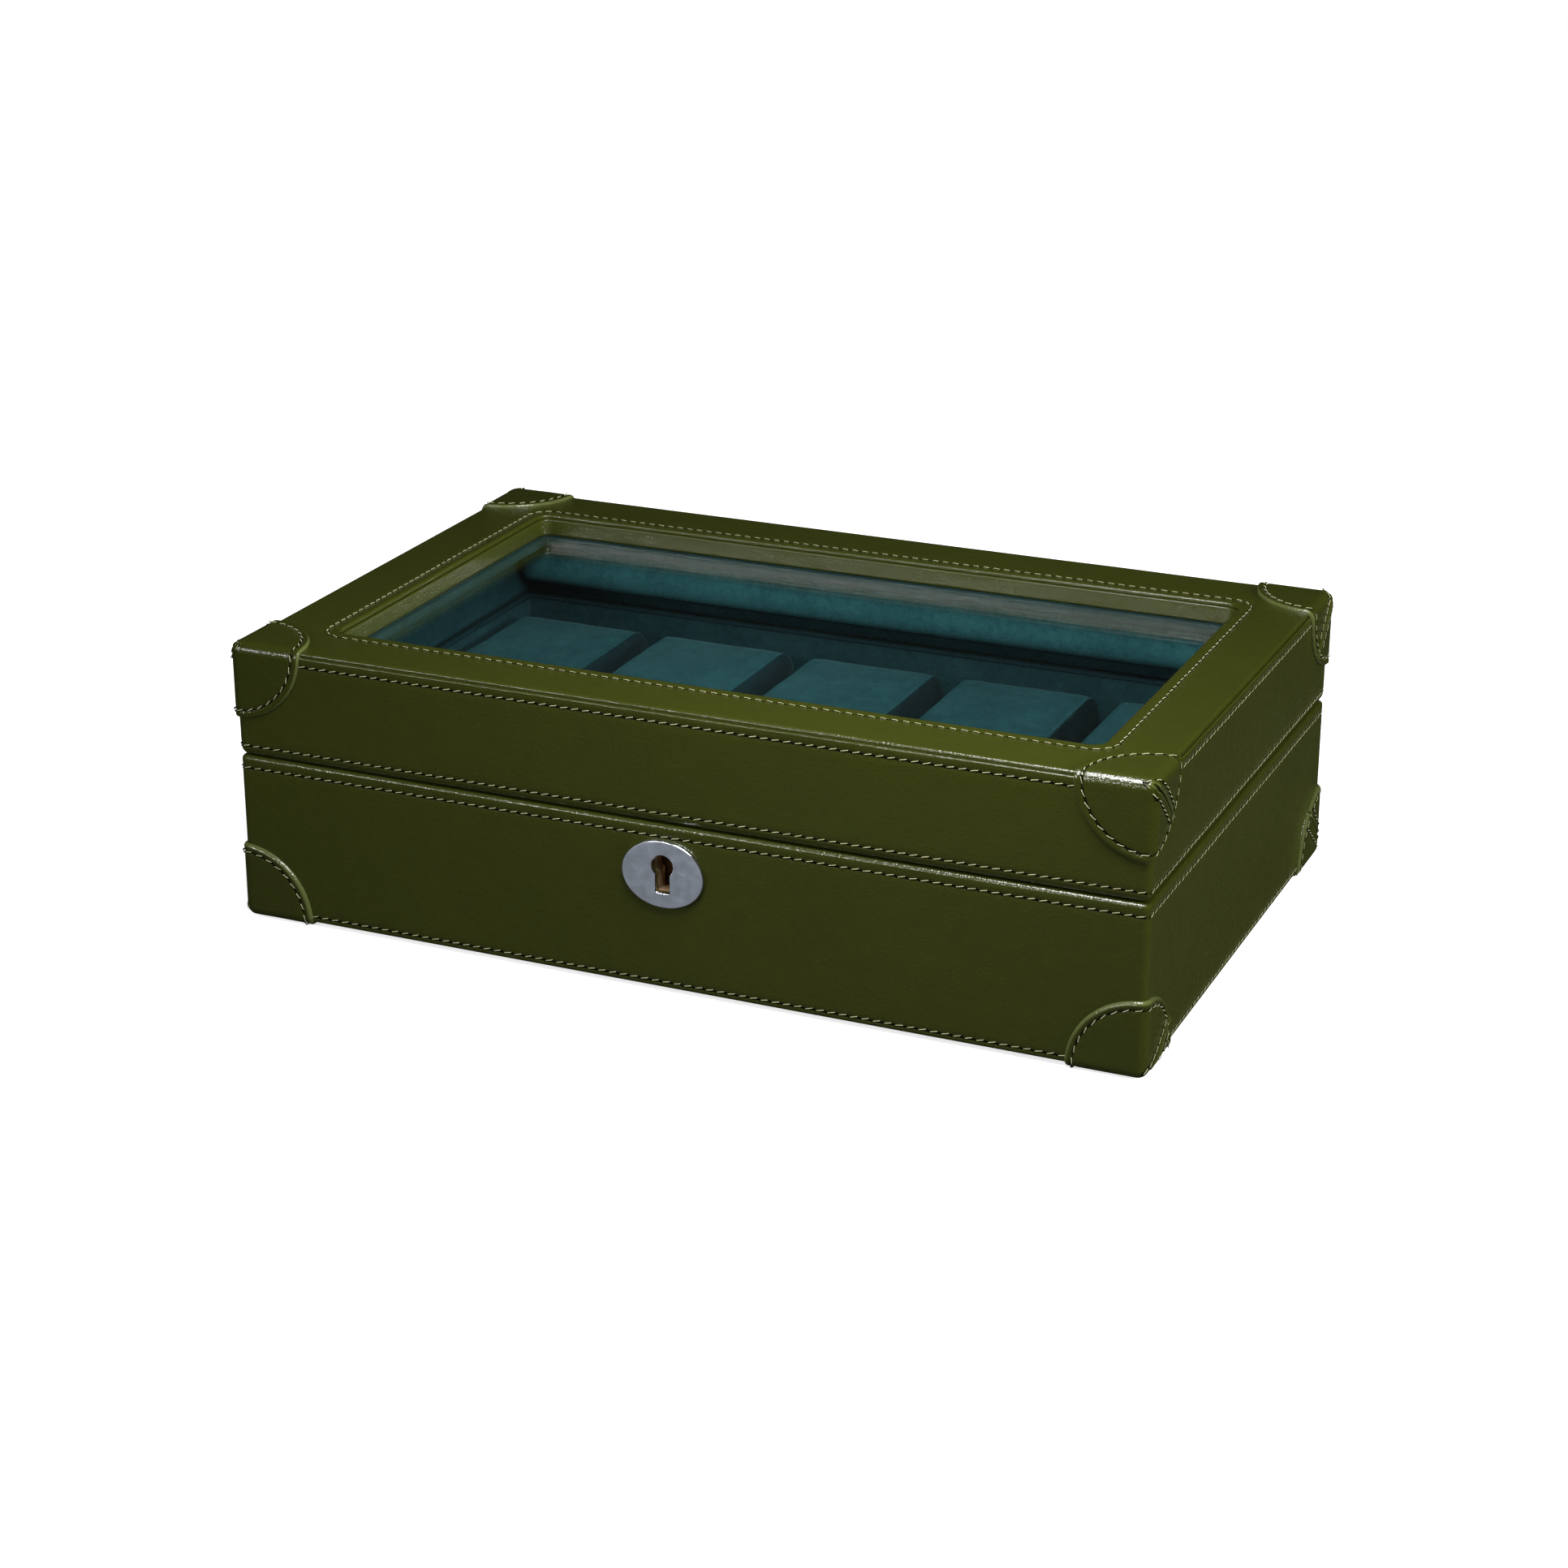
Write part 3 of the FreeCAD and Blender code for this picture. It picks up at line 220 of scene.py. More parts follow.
def suede_material(name, dark, light, nap=1.0):
    made, t, coords, shader, _ = material(name)
    broad = t.noise(coords, 45.0, 4.0, 0.6, 0.6)
    fine = t.noise(coords, 900.0, 2.0, 0.7)
    fibre = t.noise(coords, 3200.0, 2.0, 0.6)
    blotch = t.noise(coords, 190.0, 3.0, 0.65, 1.0)
    tone = t.math("MULTIPLY_ADD", fine, 0.3, t.math("MULTIPLY", broad, 0.35))
    tone = t.math("MULTIPLY_ADD", blotch, 0.35, tone)
    color = t.mix(t.remap(tone, 0.40, 0.62, 0.0, 1.0), dark, light)
    t.link(color, shader.inputs["Base Color"])
    height = t.math("ADD", fine, fibre)
    t.link(t.bump(height, 0.00025, 0.6 * nap), shader.inputs["Normal"])
    set_inputs(shader, Roughness=0.95, Specular_IOR_Level=0.15)
    set_inputs(shader, Sheen_Weight=0.12, Sheen_Roughness=0.35, Sheen_Tint=(0.45, 0.75, 0.8, 1.0))
    return made


def thread_material(name, dark, light):
    made, t, coords, shader, _ = material(name)
    along = t.add("ShaderNodeSeparateXYZ")
    t.link(t.add("ShaderNodeTexCoord").outputs["UV"], along.inputs["Vector"])
    twist = t.math("ADD", t.math("MULTIPLY", along.outputs["X"], 6.0), along.outputs["Y"])
    strand = t.math("ABSOLUTE", t.math("SINE", t.math("MULTIPLY", twist, math.pi)))
    grain = t.noise(coords, 2500.0, 2.0)
    # Darker between the strands: painted shade in the thread's grooves.
    tone = t.math("MULTIPLY", strand, t.remap(grain, 0.3, 0.7, 0.7, 1.1))
    t.link(t.mix(tone, dark, light), shader.inputs["Base Color"])
    t.link(t.bump(strand, 0.0001, 0.8), shader.inputs["Normal"])
    set_inputs(shader, Roughness=0.55, Sheen_Weight=0.2)
    return made


def metal_material(name, base, rough, streaks=0.0, metallic=1.0):
    made, t, coords, shader, _ = material(name)
    stretch = t.add("ShaderNodeMapping")
    set_inputs(stretch, Scale=(0.05, 1.0, 1.0))
    t.link(coords, stretch.inputs["Vector"])
    lines = t.noise(stretch.outputs["Vector"], 2600.0, 2.0, 0.6)
    cloud = t.noise(coords, 240.0, 3.0, 0.6)
    tone = t.math("MULTIPLY_ADD", lines, 0.5, t.math("MULTIPLY", cloud, 0.5))
    dark = tuple(0.82 * c for c in base)
    t.link(t.mix(t.remap(tone, 0.35, 0.65, 0.0, 1.0), dark, base), shader.inputs["Base Color"])
    t.link(t.remap(cloud, 0.3, 0.7, rough - 0.04, rough + 0.05), shader.inputs["Roughness"])
    set_inputs(shader, Metallic=metallic)
    if streaks:
        t.link(t.bump(lines, 0.00002, streaks), shader.inputs["Normal"])
    return made


def board_material(name, dark, light, shine=0.5):
    made, t, coords, shader, _ = material(name)
    fibre = t.noise(coords, 900.0, 4.0, 0.7)
    t.link(t.mix(t.remap(fibre, 0.35, 0.65, 0.0, 1.0), dark, light), shader.inputs["Base Color"])
    t.link(t.bump(fibre, 0.0001, 0.5), shader.inputs["Normal"])
    set_inputs(shader, Roughness=0.8, Specular_IOR_Level=shine)
    return made


def glass_material(name):
    """Glass that lets light and shadows pass straight through."""
    made, t, coords, shader, out = material(name)
    film = t.noise(coords, 14.0, 2.0)
    set_inputs(shader, Base_Color=(0.93, 0.975, 0.965, 1.0), Transmission_Weight=1.0, IOR=1.46)
    t.link(t.remap(film, 0.3, 0.7, 0.0, 0.012), shader.inputs["Roughness"])
    clear = t.add("ShaderNodeBsdfTransparent")
    set_inputs(clear, Color=(0.86, 0.92, 0.91, 1.0))
    path = t.add("ShaderNodeLightPath")
    passing = t.math("MAXIMUM", path.outputs["Is Shadow Ray"], path.outputs["Is Diffuse Ray"])
    blend = t.mix_shaders(passing, shader.outputs["BSDF"], clear.outputs["BSDF"])
    t.link(blend, out.inputs["Surface"])
    return made


LEATHER_MAT = leather_material("olive_leather", (0.0285, 0.0337, 0.0036), (0.0328, 0.0381, 0.0045), 0.33)
GUARD_MAT = leather_material("guard_leather", (0.0262, 0.0311, 0.0033), (0.0301, 0.0351, 0.0041), 0.34, 0.9)
# Dark teal on the inner ledge at the rim: painted shade.
LEDGE_SHADE_MAT = board_material("ledge_painted_shade", (0.004, 0.015, 0.019), (0.009, 0.027, 0.032), 0.1)
# Near black under the stitches: needle holes, with a painted shadow below each thread.
HOLE_AND_SHADOW_MAT = board_material("needle_hole_and_shadow", (0.0012, 0.0014, 0.0005), (0.003, 0.0035, 0.001), 0.05)
SUEDE_MAT = suede_material("teal_suede", (0.0075, 0.042, 0.050), (0.0175, 0.076, 0.087))
# Darker copy of the suede for the cushions' ends: painted shade between neighbouring cushions.
SHADED_END_SUEDE_MAT = suede_material("teal_suede_end_shade", (0.0025, 0.010, 0.014), (0.006, 0.022, 0.027))
# About twice as bright as the cushion suede: painted light on the roll, which is lit from the front.
LIT_ROLL_SUEDE_MAT = suede_material("teal_roll_lit", (0.020, 0.088, 0.102), (0.040, 0.145, 0.160))
LINING_MAT = suede_material("teal_lining", (0.006, 0.024, 0.030), (0.014, 0.046, 0.053), 0.8)
CLOTH_MAT = suede_material("teal_cloth", (0.007, 0.024, 0.028), (0.012, 0.036, 0.041), 0.5)
THREAD_MAT = thread_material("olive_thread", (0.15, 0.15, 0.065), (0.46, 0.46, 0.25))
STEEL_MAT = metal_material("dark_steel", (0.74, 0.82, 0.95), 0.5, 0.1, metallic=0.92)
STEEL_RIM_MAT = metal_material("polished_steel", (0.85, 0.89, 0.95), 0.2)
BRASS_MAT = metal_material("satin_brass", (0.70, 0.44, 0.17), 0.36, 0.2, metallic=0.8)
BOARD_MAT = board_material("fibreboard", (0.20, 0.125, 0.06), (0.33, 0.22, 0.12))
GLASS_MAT = glass_material("window_glass")


def finish_piece(obj, body, mat, stands_for=()):
    """Gives a new piece its material and body."""
    obj.data.materials.clear()
    obj.data.materials.append(mat)
    obj.data.shade_smooth()
    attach(obj, body)
    if stands_for:
        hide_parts(*stands_for)


def paint(obj, mat, chosen):
    """Gives the chosen faces of a piece a second material."""
    obj.data.materials.append(mat)
    for polygon in obj.data.polygons:
        if chosen(polygon):
            polygon.material_index = 1


def placed(name, data):
    obj = bpy.data.objects.new(name, data)
    bpy.context.scene.collection.objects.link(obj)
    return obj


def vertices(obj):
    return np.array([v.co for v in obj.data.vertices])


def turn_outward(obj, merge=False):
    """Turns the faces outward, after joining the points that meet at the seams of a mesh made in parts."""
    tool = bmesh.new()
    tool.from_mesh(obj.data)
    if merge:
        bmesh.ops.remove_doubles(tool, verts=tool.verts, dist=2e-6)
    bmesh.ops.recalc_face_normals(tool, faces=tool.faces)
    tool.to_mesh(obj.data)
    tool.free()


def applied(obj):
    """Turns the modifiers of a piece into its mesh."""
    depsgraph = bpy.context.evaluated_depsgraph_get()
    obj.data = bpy.data.meshes.new_from_object(obj.evaluated_get(depsgraph))
    obj.modifiers.clear()


def band_faces(rows, count, closed=False):
    """Quads between rows of points that each go round; closed joins the last row to the first."""
    faces = []
    for row in range(rows if closed else rows - 1):
        above = (row + 1) % rows
        for column in range(count):
            beside = (column + 1) % count
            low, high = row * count, above * count
            faces.append((low + column, low + beside, high + beside, high + column))
    return faces


def new_mesh(name, points, faces, uvs=None):
    """A mesh object from points in millimetres."""
    mesh = bpy.data.meshes.new(name)
    mesh.from_pydata([(x * MM, y * MM, z * MM) for x, y, z in points], [], faces)
    mesh.update()
    if uvs is not None:
        layer = mesh.uv_layers.new(name="UVMap")
        flat = np.array([uvs[loop.vertex_index] for loop in mesh.loops], np.float32)
        layer.data.foreach_set("uv", flat.ravel())
    return placed(name, mesh)


# Rings of leather round the box: a cross-section carried round a rectangle with round corners
SIDE_X_STEPS = 300
SIDE_Y_STEPS = 190
CORNER_STEPS = 8


def outline(half_x, half_y, radius):
    """Points and outward directions round a rectangle, anticlockwise from the front left."""
    points, outward = [], []
    corners = ((1, -1, -90), (1, 1, 0), (-1, 1, 90), (-1, -1, 180))
    steps = (SIDE_X_STEPS, SIDE_Y_STEPS, SIDE_X_STEPS, SIDE_Y_STEPS)
    start = (-(half_x - radius), -half_y)
    for index, (side_x, side_y, angle) in enumerate(corners):
        a = math.radians(angle)
        center = (side_x * (half_x - radius), side_y * (half_y - radius))
        end = (center[0] + radius * math.cos(a), center[1] + radius * math.sin(a))
        for step in range(steps[index]):
            share = step / steps[index]
            points.append((start[0] + (end[0] - start[0]) * share, start[1] + (end[1] - start[1]) * share))
            outward.append((math.cos(a), math.sin(a)))
        for step in range(CORNER_STEPS):
            turn = a + math.radians(90) * step / CORNER_STEPS
            points.append((center[0] + radius * math.cos(turn), center[1] + radius * math.sin(turn)))
            outward.append((math.cos(turn), math.sin(turn)))
        turn = a + math.radians(90)
        start = (center[0] + radius * math.cos(turn), center[1] + radius * math.sin(turn))
    return np.array(points), np.array(outward)


def ring(name, section, corner, relief=None, upward=False):
    """Sweeps a closed section, a list of (inset, height), round the box.

    The corner radius follows from the inset. The relief moves points outward, or upward on a level face.
    """
    rows = len(section)
    count = 2 * (SIDE_X_STEPS + SIDE_Y_STEPS + 2 * CORNER_STEPS)
    grid = np.zeros((rows, count, 3))
    for row, (inset, height) in enumerate(section):
        flat, out = outline(HALF_X - inset, HALF_Y - inset, max(corner(inset), 0.05))
        grid[row, :, :2] = flat
        grid[row, :, 2] = height
        if relief is None:
            continue
        depth = relief(inset, height, grid[row])
        if upward:
            grid[row, :, 2] += depth
        else:
            grid[row, :, :2] += out * depth[:, None]
    return new_mesh(name, grid.reshape(-1, 3), band_faces(rows, count, closed=True))


def arc(center_in, center_up, radius_in, radius_up, start, end, steps):
    """Points (inset, height) round part of an ellipse; angles from outwards, towards up."""
    found = []
    for step in range(steps + 1):
        angle = math.radians(start + (end - start) * step / steps)
        found.append((center_in - radius_in * math.cos(angle), center_up + radius_up * math.sin(angle)))
    return found


def straight(start, end, spacing):
    """Points between two (inset, height) places, without the ends."""
    length = math.hypot(end[0] - start[0], end[1] - start[1])
    steps = max(1, round(length / spacing))
    return [
        (start[0] + (end[0] - start[0]) * step / steps, start[1] + (end[1] - start[1]) * step / steps)
        for step in range(1, steps)
    ]


def wall(start, end, *seams):
    """Points up or down the outer face, close together at the seams, without the ends."""
    fine, coarse = 0.3, 1.3
    way = 1 if end > start else -1
    found, height = [], start
    while True:
        near = min(abs(height + way * fine - seam) for seam in seams) < 1.5
        height += way * (fine if near else coarse)
        if (end - height) * way < 0.2:
            return found
        found.append((0.0, height))


def dent(distance, width, depth):
    return -depth * np.exp(-((distance / width) ** 2))


def ripple(points, scale, size, seed):
    """A slow unevenness of the leather."""
    return np.array([
        noise.noise(Vector((p[0] * scale, p[1] * scale, p[2] * scale + seed))) * size for p in points
    ])


def wall_relief(ends, seams, seed):
    """Dents of given depths along the stitch rows, and slow waves, on the outer face only."""
    def relief(inset, height, points):
        if inset > 0.5 or not ends[0] <= height <= ends[1]:
            return np.zeros(len(points))
        dents = sum(dent(height - seam, 0.8, deep) for seam, deep in seams)
        return dents + ripple(points, WAVE, WALL_WAVE, seed)
    return relief


# Sections of the covers: (inset, height) from the inner edge, over the rim and down the outer face
base_section = (
    [(12.0, 58.9)]
    + arc(11.1, 59.5, -0.9, 0.9, 0, 90, 5)
    + straight((11.1, BASE_HIGH), (1.6, BASE_HIGH), 1.5)
    + arc(1.6, BASE_WALL[1], 1.6, 1.6, 90, 0, 8)
    + wall(BASE_WALL[1], BASE_WALL[0], BASE_TOP_SEAM, BASE_LOW_SEAM)
    + arc(1.8, BASE_WALL[0], 1.8, 1.8, 0, -90, 7)
    + straight((1.8, BASE_LOW), (16.0, BASE_LOW), 2.5)
    + [(16.0, BASE_LOW), (16.0, 2.2), (1.8, 2.2), (1.0, 3.0)]
    + [(1.0, 58.8), (1.6, 59.4), (11.0, 59.4), (11.0, 58.9), (12.0, 58.9)]
)


def outer_corner(inset):
    """Corner radius that keeps one centre near the outside and stays small inside."""
    return max(BODY_CORNER - inset, 0.8)


def box_cutter(low, high):
    """A block that is cut from other meshes, with corners in millimetres."""
    mesh = bpy.data.meshes.new("cutter")
    tool = bmesh.new()
    bmesh.ops.create_cube(tool, size=1.0)
    for vert in tool.verts:
        for axis in range(3):
            middle = (low[axis] + high[axis]) / 2
            vert.co[axis] = (middle + vert.co[axis] * (high[axis] - low[axis])) * MM
    tool.to_mesh(mesh)
    tool.free()
    return placed("cutter", mesh)


# Keyhole: a round head with a slot below it
KEY_X = -2.1
KEY_Z = 46.1
KEY_RADIUS = 3.8
SLOT_HALF = 2.45
SLOT_LOW = 36.7


def keyhole_head(margin, steps):
    """Points round the head, from one side of the slot to the other."""
    radius = KEY_RADIUS + margin
    join = math.asin((SLOT_HALF + margin) / radius)
    found = []
    for step in range(steps + 1):
        angle = -math.pi / 2 + join + (2 * math.pi - 2 * join) * step / steps
        found.append((KEY_X + radius * math.cos(angle), KEY_Z + radius * math.sin(angle)))
    return found


def keyhole_cutter(margin, near, far):
    """The keyhole as a prism through the front."""
    profile = keyhole_head(margin, 32)
    profile += [(KEY_X + side * (SLOT_HALF + margin), SLOT_LOW - margin) for side in (-1, 1)]
    count = len(profile)
    points = [(x, y, z) for y in (near, far) for x, z in profile]
    faces = [tuple(range(count)), tuple(range(2 * count - 1, count - 1, -1))]
    for index in range(count):
        after = (index + 1) % count
        faces.append((index, index + count, after + count, after))
    return new_mesh("cutter", points, faces)


def carve(obj, cutters):
    """Cuts blocks out of a mesh for good."""
    for cutter in cutters:
        bpy.context.view_layer.objects.active = obj
        tool = obj.modifiers.new("cut", "BOOLEAN")
        tool.operation = "DIFFERENCE"
        tool.solver = "EXACT"
        tool.object = cutter
        applied(obj)
        bpy.data.objects.remove(cutter)


HINGE_X = 95.0
HINGE_HALF = 20.1
LOCK_HALF = 25.1
STRIKE_HALF = 22.1
BASE_RECESS = (59.42, 61.0)
LID_RECESS = (60.0, 61.78)


def hinge_cutters(low, high):
    """Recesses of the hinge leaves in a rim, open to the back."""
    return [
        box_cutter((side * HINGE_X - HINGE_HALF, 95.0, low), (side * HINGE_X + HINGE_HALF, 104.5, high))
        for side in (-1, 1)
    ]


def plate_cutter(half, back, low, high):
    """Recess of the lock plate or the strike plate in a front rim."""
    return box_cutter((KEY_X - half, -98.5, low), (KEY_X + half, back, high))


base_leather = ring(
    "base_cover",
    base_section,
    outer_corner,
    wall_relief(BASE_WALL, ((BASE_TOP_SEAM, 0.22), (BASE_LOW_SEAM, 0.22)), BASE_SEED),
)
carve(base_leather, hinge_cutters(*BASE_RECESS) + [
    plate_cutter(LOCK_HALF, -92.9, *BASE_RECESS),
    keyhole_cutter(0.25, -104.5, -101.0),
])
finish_piece(base_leather, "base", LEATHER_MAT, stands_for=["base_leather"])


def ledge_painted_shade(polygon):
    """Whether a face is on the inner ledge of a wall near the rim, which is painted dark as shade."""
    x, y, z = polygon.center / MM
    return max(abs(x) - HALF_X, abs(y) - HALF_Y) < -9.0 and 58.0 < z < 63.0


# The inner ledges of the covers get painted shade.
paint(base_leather, LEDGE_SHADE_MAT, ledge_painted_shade)

lid_section = (
    [(10.2, 62.3)]
    + arc(9.3, 61.7, -0.9, 0.9, 0, -90, 5)
    + straight((9.3, LID_LOW), (2.4, LID_LOW), 1.5)
    + arc(2.4, LID_WALL[0], 2.4, 3.4, -90, 0, 12)
    + wall(*LID_WALL, LID_LOW_SEAM, LID_TOP_SEAM)
    + arc(0.5, LID_WALL[1], 0.5, 0.5, 0, 180, 8)
    + [(1.0, 96.0), (1.0, 64.2), (2.4, 61.8), (9.2, 61.8), (9.2, 62.3), (10.2, 62.3)]
)
lid_section.reverse()
lid_leather = ring(
    "lid_cover",
    lid_section,
    outer_corner,
    wall_relief(LID_WALL, ((LID_LOW_SEAM, 0.22), (LID_TOP_SEAM, 0.20)), LID_SEED),
)
carve(lid_leather, hinge_cutters(*LID_RECESS) + [plate_cutter(STRIKE_HALF, -94.0, *LID_RECESS)])
finish_piece(lid_leather, "lid", LEATHER_MAT, stands_for=["lid_side_leather"])
paint(lid_leather, LEDGE_SHADE_MAT, ledge_painted_shade)


def panel_corner(inset):
    """Corner radius of the top cover, from the outside to the window."""
    first, last = 1.9, 24.7
    small, large = 1.3, 5.9
    if inset > last:
        return large - (inset - last)
    return small + (large - small) * max(inset - first, 0.0) / (last - first)


def panel_relief(inset, height, points):
    if height < LID_HIGH - 0.05:
        return np.zeros(len(points))
    return dent(inset - TOP_SEAM_IN, 0.8, 0.2) + ripple(points, WAVE, TOP_WAVE, TOP_SEED)


panel_section = (
    [(1.0, 98.6)]
    + straight((1.0, 98.6), (1.0, 100.0), 0.7)
    + arc(1.9, 100.0, 0.9, 0.9, 0, 90, 6)
    + straight((1.9, LID_HIGH), (24.7, LID_HIGH), 0.5)
    + arc(24.7, 100.0, -0.9, 0.9, 90, 0, 6)
    + [(WINDOW_IN, 98.6), (24.6, 98.6), (24.6, 99.85), (2.0, 99.85), (2.0, 98.6)]
)
panel_section.reverse()
panel = ring("top_cover", panel_section, panel_corner, panel_relief, upward=True)
finish_piece(panel, "lid", LEATHER_MAT, stands_for=["lid_top_leather"])

jamb_section = (
    [(WINDOW_IN, GLASS_HIGH)]
    + straight((WINDOW_IN, GLASS_HIGH), (WINDOW_IN, 98.85), 2.0)
    + arc(26.1, 98.8, 0.5, 0.5, 0, 180, 8)
    + straight((26.6, 98.8), (26.6, GLASS_HIGH), 1.0)
    + [(26.6, GLASS_HIGH)]
)
jamb_section.reverse()
jamb = ring("jamb_cover", jamb_section, lambda inset: 5.0 - (inset - WINDOW_IN))
finish_piece(jamb, "lid", LEATHER_MAT, stands_for=["jamb_leather"])


# Stitches: short threads that dive into the leather at both ends
def thread_shape(length, width, slant):
    """One stitch along +X on a surface whose outside is +Z."""
    rings, sides = 9, 8
    path = []
    for step in range(rings):
        share = step / (rings - 1) * 2 - 1
        across = math.tan(math.radians(slant)) * share * length / 2
        if share < -0.6:
            across -= 0.35 * ((-0.6 - share) / 0.4) ** 2
        lift = 0.24 - 0.5 * abs(share) ** 6
        path.append((share * length / 2, across, lift))
    points, uvs = [], []
    for step, (x, y, z) in enumerate(path):
        share = abs(step / (rings - 1) * 2 - 1)
        radius = width / 2 * (1 - 0.35 * share ** 4)
        for side in range(sides):
            turn = 2 * math.pi * side / sides
            points.append((x, y + radius * math.cos(turn), z + 0.85 * radius * math.sin(turn)))
            uvs.append((step / (rings - 1), side / sides))
    return np.array(points), band_faces(rings, sides), uvs


HOLE_AND_SHADOW_LIFT = 0.12
STITCH_PITCH = 4.0


def sew(name, body, places, length=3.2, width=0.32, slant=12.0, dark=0.6):
    """A row of stitches; each place is a point, a direction along the row and the surface's outside.

    Each stitch lies over a dark strip that shows beside it: needle holes at its ends and a painted shadow below
    the thread.
    """
    shape, shape_faces, shape_uvs = thread_shape(length, width, slant)
    chance = random.Random(name)
    points, faces, uvs, frames = [], [], [], []
    for at, direction, outside in places:
        direction = np.array(direction) / np.linalg.norm(direction)
        outside = np.array(outside) / np.linalg.norm(outside)
        across = np.cross(outside, direction)
        frames.append((np.array(at), direction, across, outside))
        stretch = 1 + chance.uniform(-0.05, 0.05)
        tilt = math.radians(chance.uniform(-2.5, 2.5))
        ahead = direction * math.cos(tilt) + across * math.sin(tilt)
        beside = across * math.cos(tilt) - direction * math.sin(tilt)
        start = len(points)
        for x, y, z in shape:
            points.append(np.array(at) + ahead * x * stretch + beside * y + outside * z)
        faces.extend([tuple(start + i for i in face) for face in shape_faces])
        uvs.extend(shape_uvs)
    threads = len(faces)
    rise = math.tan(math.radians(slant))
    # The dark strip under each stitch: its needle holes and a painted shadow offset below the thread.
    slit = []
    for share in np.linspace(-1, 1, 9):
        wide = dark * (0.55 + 0.45 * share ** 2) * math.sqrt(max(1.15 - abs(share) ** 5, 0.0))
        middle = share * rise * length / 2 - 0.28 * dark * (1 + share)
        slit.append((share * (length / 2 + 0.5), middle - wide, middle + wide))
    for at, direction, across, outside in frames:
        start = len(points)
        for x, low_edge, high_edge in slit:
            for y in (low_edge, high_edge):
                points.append(at + direction * x + across * y + outside * HOLE_AND_SHADOW_LIFT)
                uvs.append((0.5, 0.5))
        for step in range(len(slit) - 1):
            first = start + 2 * step
            faces.append((first, first + 2, first + 3, first + 1))
    obj = new_mesh(name, points, faces, uvs)
    finish_piece(obj, body, THREAD_MAT)
    paint(obj, HOLE_AND_SHADOW_MAT, lambda polygon: polygon.index >= threads)


def side_rows(height, seed, keep=None):
    """Places of stitches along the four sides at one height, from left to right seen from outside."""
    places = []
    for half_long, half_away, along, out in (
        (HALF_X, HALF_Y, (1, 0, 0), (0, -1, 0)),
        (HALF_Y, HALF_X, (0, 1, 0), (1, 0, 0)),
        (HALF_X, HALF_Y, (-1, 0, 0), (0, 1, 0)),
        (HALF_Y, HALF_X, (0, -1, 0), (-1, 0, 0)),
    ):
        count = int((2 * half_long - 6) // STITCH_PITCH)
        for step in range(count + 1):
            place = (step - count / 2) * STITCH_PITCH
            at = np.array(along) * place + np.array(out) * half_away
            at = np.array([at[0], at[1], height])
            if keep is None or keep(place, half_long):
                depth = ripple([at], WAVE, WALL_WAVE, seed)[0] - 0.22
                places.append((at + np.array(out) * depth, along, out))
    return places


# Corner guards reach this far along the faces, and their stitches run at GUARD_SEAM
GUARD_REACH = 26.3
GUARD_THICK = 1.2
GUARD_SEAM = 23.5


def clear_of_guard(height_from_edge):
    """Keeps the places of a row that the corner guards don't cover."""
    reach = math.sqrt(max(GUARD_REACH ** 2 - height_from_edge ** 2, 0.0)) - 0.5
    return lambda place, half_long: abs(place) < half_long - reach


sew("base_top_stitches", "base", side_rows(BASE_TOP_SEAM, BASE_SEED))
sew("base_low_stitches", "base", side_rows(BASE_LOW_SEAM, BASE_SEED, keep=clear_of_guard(2.6)))
sew("lid_low_stitches", "lid", side_rows(LID_LOW_SEAM, LID_SEED))
sew("lid_top_stitches", "lid", side_rows(LID_TOP_SEAM, LID_SEED, keep=clear_of_guard(4.6)))


def window_row(inset, radius):
    """Places of stitches round the window on the top."""
    places = []
    fine, _ = outline(HALF_X - inset, HALF_Y - inset, radius)
    closed = np.vstack([fine, fine[:1]])
    gaps = np.linalg.norm(np.diff(closed, axis=0), axis=1)
    run = np.concatenate([[0.0], np.cumsum(gaps)])
    count = round(run[-1] / STITCH_PITCH)
    for step in range(count):
        at = run[-1] * (step + 0.5) / count
        (x, y), (x_after, y_after) = [
            [np.interp(where, run, closed[:, axis]) for axis in range(2)] for where in (at, at + 0.2)
        ]
        depth = ripple([(x, y, LID_HIGH)], WAVE, TOP_WAVE, TOP_SEED)[0] - 0.2
        places.append((np.array([x, y, LID_HIGH + depth]), (x_after - x, y_after - y, 0.0), (0, 0, 1)))
    return places


window_places = window_row(TOP_SEAM_IN, 8.5)
sew("window_stitches", "lid", window_places, length=2.9, width=0.27, slant=-9.0, dark=0.42)

